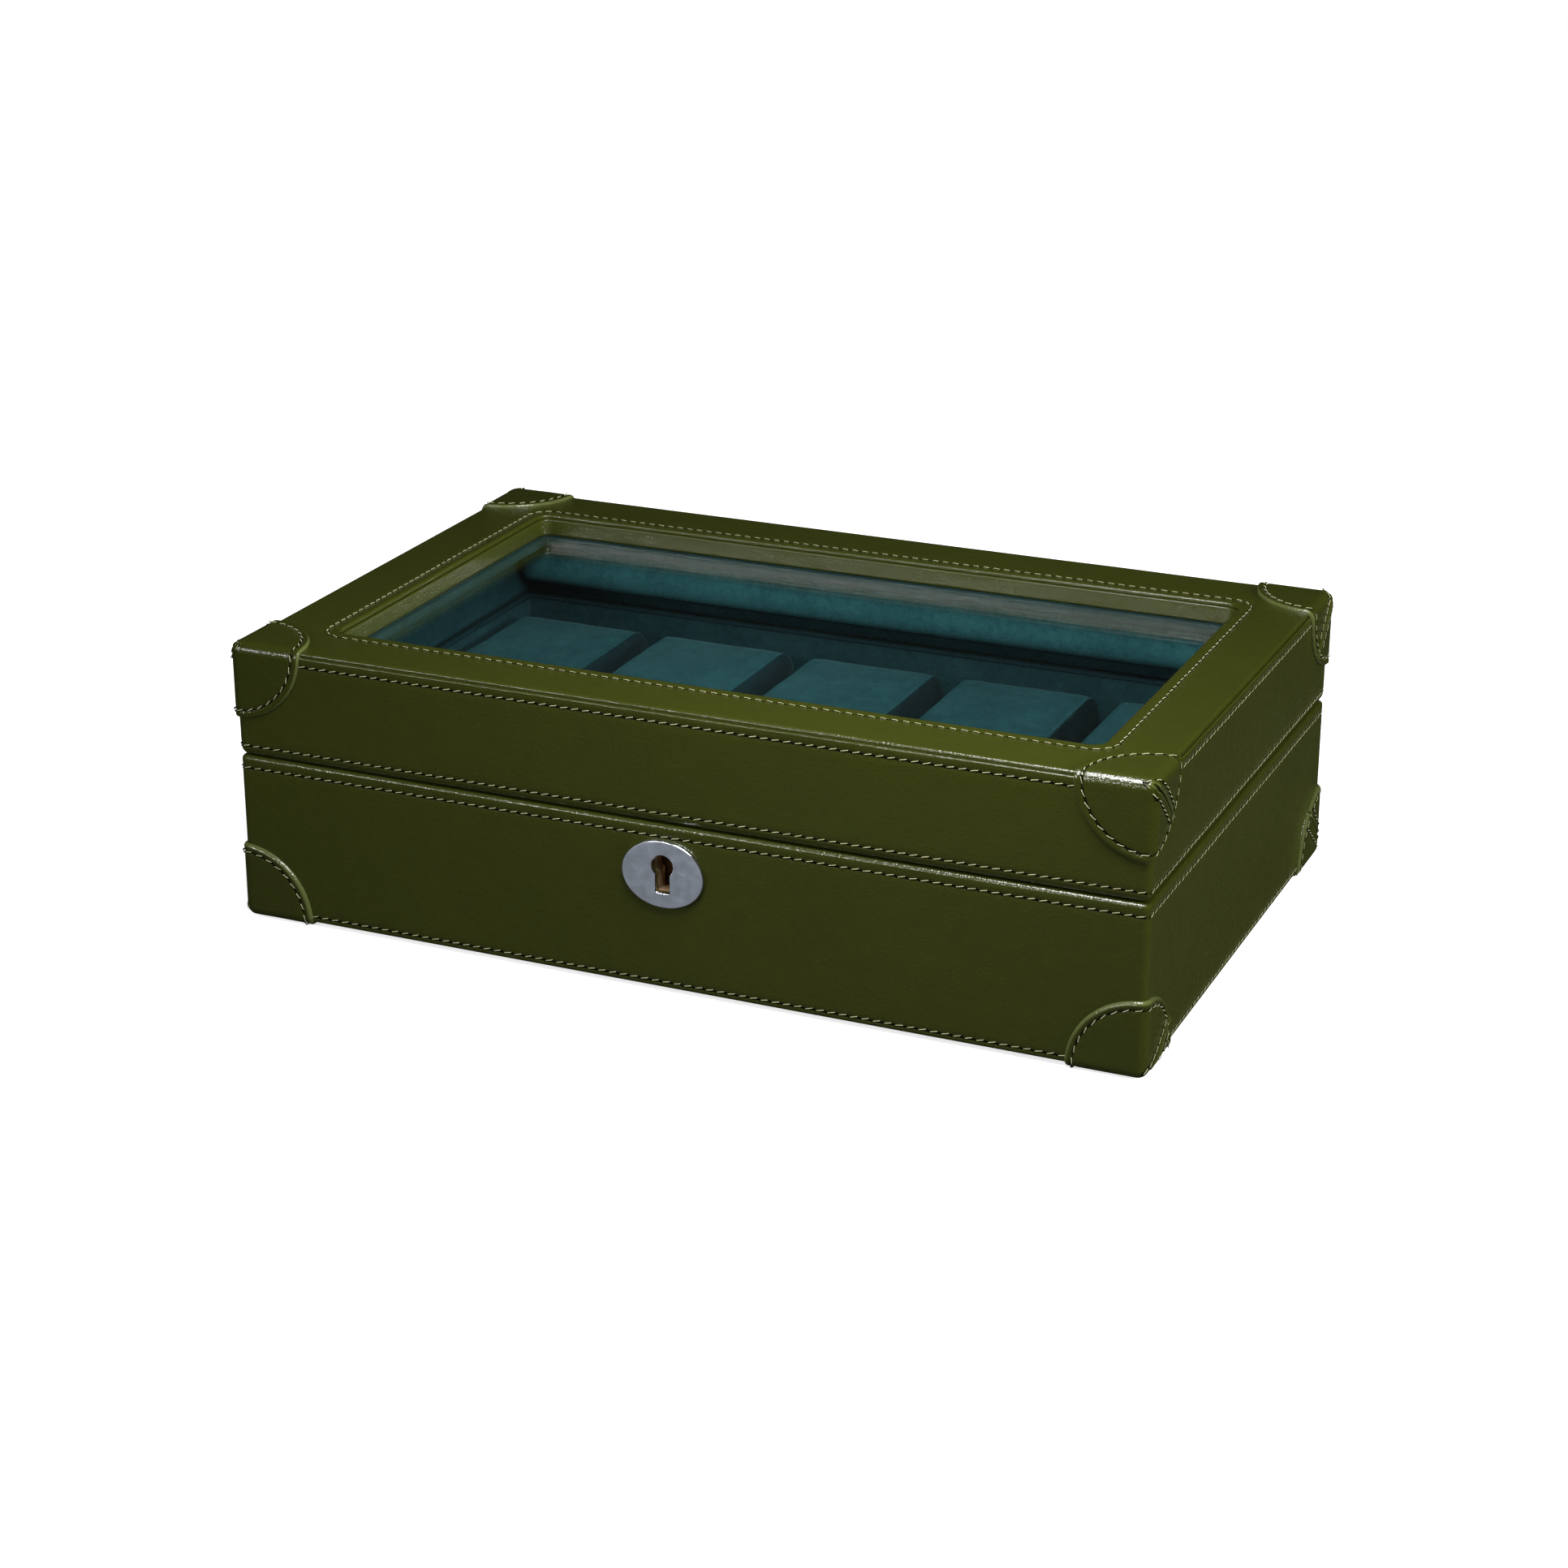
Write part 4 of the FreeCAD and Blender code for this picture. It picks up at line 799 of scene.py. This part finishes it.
# Each guard is a leather cap with a stitched rim and a dart. The dart's slit is a line on the side face, and its
# seams are lines over the corner's faces, in millimetres from the corner.
SLITS = {
    "top": [(0.6, 0.4), (1.6, 2.2), (7.3, 6.8), (12.2, 11.8), (18.4, 18.9)],
    "bottom_front": [(26.0, 12.9), (21.4, 10.1), (17.0, 6.1), (11.7, 2.2), (8.0, 0.0)],
    "bottom_back": [(15.5, 21.0), (13.3, 17.6), (9.5, 14.2), (5.7, 10.6), (0.5, 6.0)],
}
DART_SEAMS = {
    "top": [
        [(3.2, 0, 0), (1.5, 0, 2.0), (0, 0.6, 4.4), (0, 5.1, 9.0), (0, 9.9, 13.7), (0, 13.0, 17.5)],
        [(3.2, 0, 0), (2.4, 0.5, 0), (0.8, 2.9, 0), (0, 4.2, 0.6), (0, 8.5, 3.4), (0, 12.4, 7.4),
         (0, 17.3, 12.9)],
    ],
    "bottom_front": [
        [(0, 19.2, 12.6), (0, 14.6, 8.6), (0, 10.7, 6.1), (0, 5.2, 3.4), (0, 1.0, 2.2), (0.9, 0, 0.8)],
        [(0, 22.2, 6.4), (0, 18.6, 3.0), (0, 15.4, 0.6)],
    ],
    "bottom_back": [
        [(0, 17.6, 14.8), (0, 15.4, 13.4), (0, 11.6, 10.4), (0, 7.4, 6.9), (0, 2.6, 3.0)],
        [(0, 10.4, 20.4), (0, 8.6, 17.6), (0, 5.0, 14.2), (0, 1.2, 11.0)],
    ],
}


def distance_to_line(points, line):
    best = np.full(len(points), 1e9)
    for start, end in zip(line[:-1], line[1:]):
        a, b = np.array(start), np.array(end)
        run = b - a
        share = np.clip(((points - a) @ run) / (run @ run), 0, 1)
        best = np.minimum(best, np.linalg.norm(points - (a + share[:, None] * run), axis=1))
    return best


def guard_height(reach, edge):
    """Height of the guard's outer face over the leather at a distance from the corner."""
    over = np.clip((reach - (GUARD_REACH - edge)) / edge, 0, 1)
    height = GUARD_THICK * np.sqrt(np.clip(1 - over ** 2, 0, 1))
    height = height + dent(reach - GUARD_SEAM, 0.7, 0.24)
    return height + 0.10 * np.exp(-(((reach - (GUARD_SEAM + 1.4)) / 0.7) ** 2))


def onto_body(flat, height):
    """Moves points of the sharp corner at the origin onto the rounded body, lifted by a height."""
    core = np.minimum(flat, -BODY_CORNER)
    away = flat - core
    length = np.linalg.norm(away, axis=1)
    away = away / np.maximum(length, 1e-9)[:, None]
    return core + away * (BODY_CORNER * 0.85 + height)[:, None] + away * BODY_CORNER * 0.15, away


def guard(name, node, body, side_x, side_y, top):
    kind = "top" if top else ("bottom_front" if side_y < 0 else "bottom_back")
    slit = SLITS[kind]
    edge = 0.7 if top else 1.25
    reaches = np.concatenate([
        np.linspace(0.0, 1.5, 4)[:-1],
        np.arange(1.5, GUARD_SEAM - 1.2, 0.3),
        np.arange(GUARD_SEAM - 1.2, GUARD_REACH - edge, 0.2),
        GUARD_REACH - edge + edge * np.sin(np.linspace(0, math.pi / 2, 9)),
    ])
    points, faces = [], []
    corner = np.array([side_x * HALF_X, side_y * HALF_Y, LID_HIGH if top else BASE_LOW])
    flip = np.array([side_x, side_y, 1.0 if top else -1.0])
    mirrored = flip.prod() < 0
    for face, count in enumerate((150, 48, 48)):
        start = len(points)
        angles = np.linspace(0, math.pi / 2, count + 1)
        for reach in reaches:
            first, second = -reach * np.cos(angles), -reach * np.sin(angles)
            flat = np.roll(np.stack([np.zeros_like(first), first, second], axis=1), face, axis=1)
            height = np.full(len(flat), float(guard_height(np.array([reach]), edge)[0]))
            if face == 0:
                gap = distance_to_line(-flat[:, 1:], slit)
                fade = np.clip(reach / 3.0, 0, 1)
                height = height + fade * (dent(gap, 0.3, 0.75) + 0.36 * np.exp(-(((gap - 0.9) / 0.45) ** 2)))
            height = height + ripple(flat + corner, 0.08, TOP_WAVE, GUARD_SEED)
            height = np.where(reach >= GUARD_REACH - 1e-6, -0.15, height)
            moved, _ = onto_body(flat, height)
            points.extend(moved * flip + corner)
        for row in range(len(reaches) - 1):
            for column in range(count):
                low = start + row * (count + 1) + column
                high = low + count + 1
                quad = (low, high, high + 1, low + 1)
                faces.append(quad if mirrored else quad[::-1])
    obj = new_mesh(name, points, faces)
    turn_outward(obj, merge=True)
    inside = (vertices(obj) / MM - corner) * flip
    away = np.linalg.norm(np.minimum(inside, 0.0), axis=1)
    # Pale band at the guard's edge: edge colour with a painted highlight.
    pale = np.clip((away - (GUARD_REACH - (0.6 if top else 1.4))) / (0.25 if top else 0.8), 0, 1)
    side = inside[:, 0] > -1.5
    gap = np.where(side, distance_to_line(-inside[:, 1:], slit), 9.0)
    # The dart's lips get a painted highlight, and its slit painted shade.
    lips = 0.8 * np.exp(-(((gap - 0.75) / 0.28) ** 2)) - 1.0 * np.exp(-((gap / 0.32) ** 2))
    attribute = obj.data.attributes.new("rim", "FLOAT", "POINT")
    attribute.data.foreach_set("value", np.clip(pale + lips, -1, 1).astype(np.float32))
    finish_piece(obj, body, GUARD_MAT, stands_for=[node])
    return corner, flip, DART_SEAMS[kind]


def guard_places(corner, flip, dart_seams):
    """Places of the stitches round the rim on three faces and beside the dart."""
    places = []
    seam_height = float(guard_height(np.array([GUARD_SEAM]), 1.0)[0])

    def put(flat, ahead, lift):
        moved, away = onto_body(np.array([flat]), np.array([lift]))
        at = moved[0] * flip + corner
        places.append((at, np.array(ahead) * flip, away[0] * flip))

    count = 9
    for face in range(3):
        for step in range(count):
            angle = math.pi / 2 * (step + 0.5) / count
            flat, run = [0.0, 0.0, 0.0], [0.0, 0.0, 0.0]
            a, b = (face + 1) % 3, (face + 2) % 3
            flat[a], flat[b] = -GUARD_SEAM * math.cos(angle), -GUARD_SEAM * math.sin(angle)
            run[a], run[b] = math.sin(angle), -math.cos(angle)
            put(flat, run, seam_height)
    for seam in dart_seams:
        line = -np.array(seam, float)
        run_length = np.concatenate([[0.0], np.cumsum(np.linalg.norm(np.diff(line, axis=0), axis=1))])
        for at in np.arange(1.4, run_length[-1] - 0.8, 3.3):
            here = np.array([np.interp(at, run_length, line[:, k]) for k in range(3)])
            ahead = np.array([np.interp(at + 0.5, run_length, line[:, k]) for k in range(3)]) - here
            put(here, ahead / np.linalg.norm(ahead), GUARD_THICK - 0.05)
    return places


for place, side_x, side_y in (
    ("front_left", -1, -1), ("front_right", 1, -1), ("back_left", -1, 1), ("back_right", 1, 1),
):
    for top in (False, True):
        prefix = "top_guard" if top else "bottom_guard"
        body = "lid" if top else "base"
        spot = guard(f"{prefix}_{place}_cap", f"{prefix}_{place}", body, side_x, side_y, top)
        sew(f"{prefix}_{place}_stitches", body, guard_places(*spot), length=3.0)


# Escutcheon: an oval plate with rounded rim and keyhole
PLATE_Z = 43.2
PLATE_HALF_X = 15.0
PLATE_HALF_Z = 12.0
PLATE_THICK = 1.5


def keyhole_outline():
    """The keyhole with small round corners at the slot's low end."""
    found = keyhole_head(0.0, 40)
    round_in = 0.6
    for side, turned in ((-1, math.pi), (1, -math.pi / 2)):
        for step in range(7):
            angle = turned + math.pi / 2 * step / 6
            x = KEY_X + side * (SLOT_HALF - round_in) + round_in * math.cos(angle)
            found.append((x, SLOT_LOW + round_in + round_in * math.sin(angle)))
    return found


def plate_curve(name, edge):
    curve = bpy.data.curves.new(name, "CURVE")
    curve.dimensions = "2D"
    curve.fill_mode = "BOTH"
    angles = [2 * math.pi * i / 128 for i in range(128)]
    oval = [(KEY_X + PLATE_HALF_X * math.cos(a), PLATE_Z + PLATE_HALF_Z * math.sin(a)) for a in angles]
    for points in (oval, keyhole_outline()):
        spline = curve.splines.new("POLY")
        spline.points.add(len(points) - 1)
        for point, (x, z) in zip(spline.points, points):
            point.co = (x * MM, z * MM, 0.0, 1.0)
        spline.use_cyclic_u = True
    curve.extrude = (PLATE_THICK / 2 - edge) * MM
    curve.bevel_depth = edge * MM
    curve.bevel_resolution = 4
    curve.offset = -edge * MM
    obj = placed(name, curve)
    upright = Matrix.Rotation(math.pi / 2, 4, "X")
    obj.matrix_world = Matrix.Translation((0, -(HALF_Y + PLATE_THICK / 2) * MM, 0)) @ upright
    bpy.context.view_layer.update()
    mesh = bpy.data.meshes.new_from_object(obj.evaluated_get(bpy.context.evaluated_depsgraph_get()))
    mesh.transform(obj.matrix_world)
    bpy.data.objects.remove(obj)
    return placed(name, mesh)


plate = plate_curve("escutcheon_plate", 0.45)
finish_piece(plate, "base", STEEL_MAT, stands_for=["escutcheon"])
plate.data.set_sharp_from_angle(angle=math.radians(40))
paint(plate, STEEL_RIM_MAT, lambda polygon: abs(polygon.normal.y) < 0.96)


# Soft pieces: watch cushions of this width, depth and height, and the roll
PILLOW = (49.4, 78.6, 47.3)
PILLOW_CORNER = 15.0
MOST_SWELLING = 0.0011


def band_profile(depth, height, corner, spacing):
    """Points round a rectangle with round corners in the YZ plane."""
    found = []
    for side_y, side_z, angle in ((1, 1, 0), (-1, 1, 90), (-1, -1, 180), (1, -1, 270)):
        center = (side_y * (depth / 2 - corner), side_z * (height / 2 - corner))
        for step in range(7):
            turn = math.radians(angle + 90 * step / 6)
            found.append((center[0] + corner * math.cos(turn), center[1] + corner * math.sin(turn)))
    full = []
    for index, here in enumerate(found):
        after = found[(index + 1) % len(found)]
        steps = max(1, round(math.dist(here, after) / spacing))
        for step in range(steps):
            share = step / steps
            full.append((here[0] + (after[0] - here[0]) * share, here[1] + (after[1] - here[1]) * share))
    return full


def pillow_mesh(spacing, ends):
    """A cushion about the origin: a band round the long way and two flat ends, in millimetres."""
    width, depth, height = PILLOW
    half = width / 2
    stations = list(np.linspace(-(half - ends[-1][0]), half - ends[-1][0], max(2, round(width / spacing))))
    rows = [(-(half - at), inset) for at, inset in ends[:-1]]
    rows += [(x, ends[-1][1]) for x in stations]
    rows += [(half - at, inset) for at, inset in reversed(ends[:-1])]
    profile = np.array(band_profile(depth, height, PILLOW_CORNER, spacing))
    count = len(profile)
    points, faces = [], band_faces(len(rows), count)
    for x, inset in rows:
        shrink = np.array([1 - 2 * inset / depth, 1 - 2 * inset / height])
        points.extend([(x, y, z) for y, z in profile * shrink])
    rings = 7
    for side, first in ((-1, 0), (1, (len(rows) - 1) * count)):
        rim = list(range(first, first + count))
        base = np.array([points[i] for i in rim])
        for ring_step in range(1, rings):
            share = 1 - ring_step / rings
            start = len(points)
            for x, y, z in base:
                points.append((x + side * 0.5 * (1 - share ** 2), y * share, z * share))
            inner = list(range(start, start + count))
            for column in range(count):
                after = (column + 1) % count
                quad = (rim[column], rim[after], inner[after], inner[column])
                faces.append(quad if side > 0 else quad[::-1])
            rim = inner
        points.append((base[0][0] + side * 0.5, 0.0, 0.0))
        for column in range(count):
            corner_face = (rim[column], rim[(column + 1) % count], len(points) - 1)
            faces.append(corner_face if side > 0 else corner_face[::-1])
    return points, faces


def swell(seed, steps):
    """Where the skin of a filled cushion moves to, from a short cloth simulation of a coarse cushion."""
    points, faces = pillow_mesh(4.5, [(1.2, 1.2), (2.4, 0.6)])
    obj = new_mesh("filling", points, faces)
    rest = obj.modifiers.new("remesh", "REMESH")
    rest.mode = "VOXEL"
    rest.voxel_size = 0.0045
    applied(obj)
    before = vertices(obj)
    chance = random.Random(seed)
    cloth = obj.modifiers.new("filling", "CLOTH")
    skin = cloth.settings
    skin.use_pressure = True
    skin.uniform_pressure_force = 4.0 + chance.uniform(-0.6, 0.6)
    skin.effector_weights.gravity = 0.0
    skin.tension_stiffness = 25.0
    skin.compression_stiffness = 25.0
    skin.bending_stiffness = 4.0
    skin.quality = 6
    cloth.point_cache.frame_start = 1
    cloth.point_cache.frame_end = max(steps, 1)
    for step in range(1, steps + 1):
        bpy.context.scene.frame_set(step)
    applied(obj)
    bpy.context.scene.frame_set(1)
    after = vertices(obj)
    bpy.data.objects.remove(obj)
    moves = after - before
    size = np.linalg.norm(moves, axis=1)
    moves *= np.minimum(1.0, MOST_SWELLING / np.maximum(size, 1e-9))[:, None]
    return before, moves


def stuffed(name, seed, steps):
    """A cushion with clean seams, swollen by the simulated filling, with slight folds."""
    points, faces = pillow_mesh(2.6, [(0.0, 0.9), (0.25, 0.35), (0.8, 0.0), (1.5, 0.5), (2.6, 0.0)])
    obj = new_mesh(name, points, faces)
    if steps:
        before, moves = swell(seed, steps)
        tree = KDTree(len(before))
        for index, place in enumerate(before):
            tree.insert(place, index)
        tree.balance()
        co = vertices(obj)
        for index, place in enumerate(co):
            near = tree.find_n(place, 6)
            weights = np.array([math.exp(-((distance / 0.005) ** 2)) for _, _, distance in near])
            move = (moves[[i for _, i, _ in near]] * weights[:, None]).sum(axis=0) / weights.sum()
            seam = min(abs(abs(place[0]) - 0.0239) / 0.003, 1.0)
            co[index] = place + move * seam
        obj.data.vertices.foreach_set("co", co.astype(np.float32).ravel())
    smooth = obj.modifiers.new("smooth", "SUBSURF")
    smooth.levels = 1
    smooth.render_levels = 1
    applied(obj)
    co = vertices(obj)
    for index, point in enumerate(co):
        wobble = noise.noise(Vector(point) * 55 + Vector((seed * 3.7, 0, 0)))
        crease = noise.noise(Vector((point[0] * 240, point[1] * 50, point[2] * 50 + seed)))
        co[index] += Vector(point).normalized() * (wobble * 0.0004 + crease * 0.00012)
    obj.data.vertices.foreach_set("co", co.astype(np.float32).ravel())
    obj.data.update()
    return obj


SIM_FRAMES = 20
patterns = [stuffed(f"pillow_pattern_{seed}", seed, SIM_FRAMES) for seed in (1, 2, 3)]
for number in range(1, 11):
    low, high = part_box(f"cushion_{number}")
    center = (low + high) / 2
    mesh = patterns[number % 3].data.copy()
    flip = Matrix.Scale(-1, 4, (1, 0, 0)) if number % 2 else Matrix.Identity(4)
    turn = Matrix.Rotation(math.radians(random.Random(number).uniform(-0.4, 0.4)), 4, "Z")
    mesh.transform(turn @ flip)
    if number % 2:
        mesh.flip_normals()
    bottom = min(v.co.z for v in mesh.vertices)
    mesh.transform(Matrix.Translation((center.x, center.y, low.z - bottom)))
    pillow = placed(f"watch_cushion_{number}", mesh)
    finish_piece(pillow, f"pillow_{number}", SUEDE_MAT, stands_for=[f"cushion_{number}"])
    # Ends facing sideways get the darker suede as painted shade.
    paint(pillow, SHADED_END_SUEDE_MAT, lambda polygon: abs(polygon.normal.x) > 0.75)
for pattern in patterns:
    bpy.data.objects.remove(pattern)


def roll_piece():
    """The soft roll on the rear wall of the lid: a flattened sausage with round ends."""
    low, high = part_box("lid_roll")
    half = (high - low) / 2 / MM
    center = (high + low) / 2 / MM
    points = []
    round_end, sides = 4.0, 40
    straight_half = half.x - round_end
    ends = [straight_half + round_end * math.sin(a) for a in np.linspace(0.15, 1.5, 8)]
    between = [share * straight_half for share in np.linspace(-1, 1, 161)]
    stations = [-x for x in reversed(ends)] + between + ends
    for x in stations:
        over = max(abs(x) - straight_half, 0.0) / round_end
        shrink = round_end * (1 - math.sqrt(max(1 - over ** 2, 0.0)))
        wave = 0.25 * noise.noise(Vector((x * 0.05, 0, 4.0)))
        for side in range(sides):
            turn = 2 * math.pi * side / sides
            c, s = math.cos(turn), math.sin(turn)
            y = math.copysign(abs(c) ** 0.8, c) * (half.y - shrink * 0.8)
            z = math.copysign(abs(s) ** 0.85, s) * (half.z - shrink + wave * 0.5)
            if y < 0:
                y += min(0.4 + wave, 0.0)
            points.append((center.x + x, center.y + y, center.z + z))
    faces = band_faces(len(stations), sides)
    faces.append(tuple(range(sides))[::-1])
    faces.append(tuple(range((len(stations) - 1) * sides, len(stations) * sides)))
    obj = new_mesh("lid_bolster", points, faces)
    turn_outward(obj)
    # The roll's brighter suede is painted light.
    finish_piece(obj, "lid", LIT_ROLL_SUEDE_MAT, stands_for=["lid_roll"])


roll_piece()

# Finishes of the CAD pieces that show as they are
PLAIN = {
    BOARD_MAT: ["base_carcass", "lid_carcass", "lid_top_board"],
    LINING_MAT: ["base_lining", "lid_lining", "glass_retainer", "long_divider"]
    + [f"cross_divider_{i}" for i in range(1, 5)],
    CLOTH_MAT: ["bottom_cloth"],
    GLASS_MAT: ["glass_pane"],
    BRASS_MAT: [
        "lock_case", "lock_cap", "lock_plate", "lock_screws", "lock_bolt", "strike_plate", "strike_screws",
        "hinge_pin_left", "hinge_pin_right", "base_hinge_screws", "lid_hinge_screws",
    ] + [f"{half}_hinge_leaf_{side}" for half in ("base", "lid") for side in ("left", "right")],
}
for mat, names in PLAIN.items():
    for name in names:
        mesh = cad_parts[name].data
        mesh.materials.clear()
        mesh.materials.append(mat)
        mesh.shade_smooth()
        mesh.set_sharp_from_angle(angle=math.radians(35))


def in_view(tree, path):
    """1 for what the camera sees directly or through the glass, and 0 for light that falls on the object."""
    bounces = tree.math("ADD", path.outputs["Diffuse Depth"], path.outputs["Glossy Depth"])
    straight = tree.math("LESS_THAN", bounces, 0.5)
    through = tree.math("MULTIPLY", path.outputs["Is Transmission Ray"], straight)
    return tree.math("MAXIMUM", path.outputs["Is Camera Ray"], through)


# Floor, world, lamps and camera
bpy.ops.mesh.primitive_plane_add(size=12.0, location=(0, 0, -0.0002))
floor = bpy.context.object
floor.name = "floor"
floor_mat, t, coords, floor_shader, floor_out = material("floor_white")
speck = t.noise(coords, 2.0)
floor_ray = t.add("ShaderNodeLightPath")
seen_ray = in_view(t, floor_ray)
pale = t.mix(speck, (0.92, 0.92, 0.92), (0.94, 0.94, 0.94))
unseen = t.mix(floor_ray.outputs["Is Glossy Ray"], (0.25, 0.25, 0.25), (0.015, 0.015, 0.015))
t.link(t.mix(seen_ray, unseen, pale), floor_shader.inputs["Base Color"])
set_inputs(floor_shader, Roughness=0.9, Specular_IOR_Level=0.0)
glow = t.white_light("ShaderNodeEmission", 0.0)
t.link(t.math("MULTIPLY", seen_ray, 0.66), glow.inputs["Strength"])
lit = t.add("ShaderNodeAddShader")
t.link(floor_shader.outputs["BSDF"], lit.inputs[0])
t.link(glow.outputs["Emission"], lit.inputs[1])
far = t.white_light("ShaderNodeEmission", 0.0)
t.link(t.remap(seen_ray, 0.0, 1.0, 0.005, 1.0), far.inputs["Strength"])
reach = t.add("ShaderNodeVectorMath", operation="LENGTH")
t.link(coords, reach.inputs[0])
away = t.remap(reach.outputs["Value"], 0.35, 0.8, 0.0, 1.0)
t.link(t.mix_shaders(away, lit.outputs["Shader"], far.outputs["Emission"]), floor_out.inputs["Surface"])
floor.data.materials.append(floor_mat)
floor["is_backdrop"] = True

# The world is white where the camera sees it, soft light for the object, and nearly dark in reflections
world = bpy.data.worlds.new("studio")
bpy.context.scene.world = world
world.use_nodes = True
t = Tree(world.node_tree)
world.node_tree.nodes.clear()
around, mirrored, seen = [
    t.white_light("ShaderNodeBackground", strength).outputs["Background"] for strength in (0.16, 0.007, 1.0)
]
ray = t.add("ShaderNodeLightPath")
world_out = t.add("ShaderNodeOutputWorld")
unseen = t.mix_shaders(ray.outputs["Is Glossy Ray"], around, mirrored)
t.link(t.mix_shaders(in_view(t, ray), unseen, seen), world_out.inputs["Surface"])


def lamp(name, place, aim, width, height, power, mirrored=True):
    """An area lamp; one that isn't mirrored leaves no highlights."""
    data = bpy.data.lights.new(name, "AREA")
    data.shape = "RECTANGLE"
    data.size = width
    data.size_y = height
    data.energy = power
    obj = placed(name, data)
    obj.location = place
    obj.rotation_euler = (Vector(aim) - Vector(place)).to_track_quat("-Z", "Y").to_euler()
    obj.visible_camera = False
    obj.visible_glossy = mirrored
    obj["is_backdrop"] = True


lamp("top_softbox", (0.10, -0.20, 0.39), (0.11, -0.05, 0.05), 0.18, 0.18, 2.3)
lamp("front_strip", (-0.62, -1.30, 0.66), (0, 0, 0.08), 0.9, 0.03, 7.8)
lamp("right_softbox", (1.5, 0.0, 0.5), (0, 0, 0.05), 0.9, 0.4, 30.0, mirrored=False)
lamp("left_fill", (-1.6, 0.5, 0.45), (0, 0, 0.06), 0.8, 0.5, 9.0, mirrored=False)
lamp("back_fill", (0.45, 1.7, 0.35), (0, 0.1, 0.06), 0.8, 0.4, 18.0, mirrored=False)

# The camera, fitted to the edges of the box in the photograph
CAMERA_PLACE = (0.4409, -1.0178, 0.4713)
CAMERA_YAW = math.radians(-23.6058)
CAMERA_PITCH = math.radians(21.3198)
camera = placed("camera", bpy.data.cameras.new("camera"))
camera.data.lens = 76.52
camera.data.sensor_width = 36.0
camera.data.clip_start = 0.01
camera.data.clip_end = 50.0
level = Vector((math.sin(CAMERA_YAW), math.cos(CAMERA_YAW), 0.0))
ahead = level * math.cos(CAMERA_PITCH) - Vector((0.0, 0.0, math.sin(CAMERA_PITCH)))
right = Vector((level.y, -level.x, 0.0))
turned = Matrix((right, right.cross(ahead), -ahead)).transposed().to_4x4()
camera.matrix_world = Matrix.Translation(CAMERA_PLACE) @ turned
bpy.context.scene.camera = camera

bpy.context.scene.view_settings.view_transform = "Standard"

low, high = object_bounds()
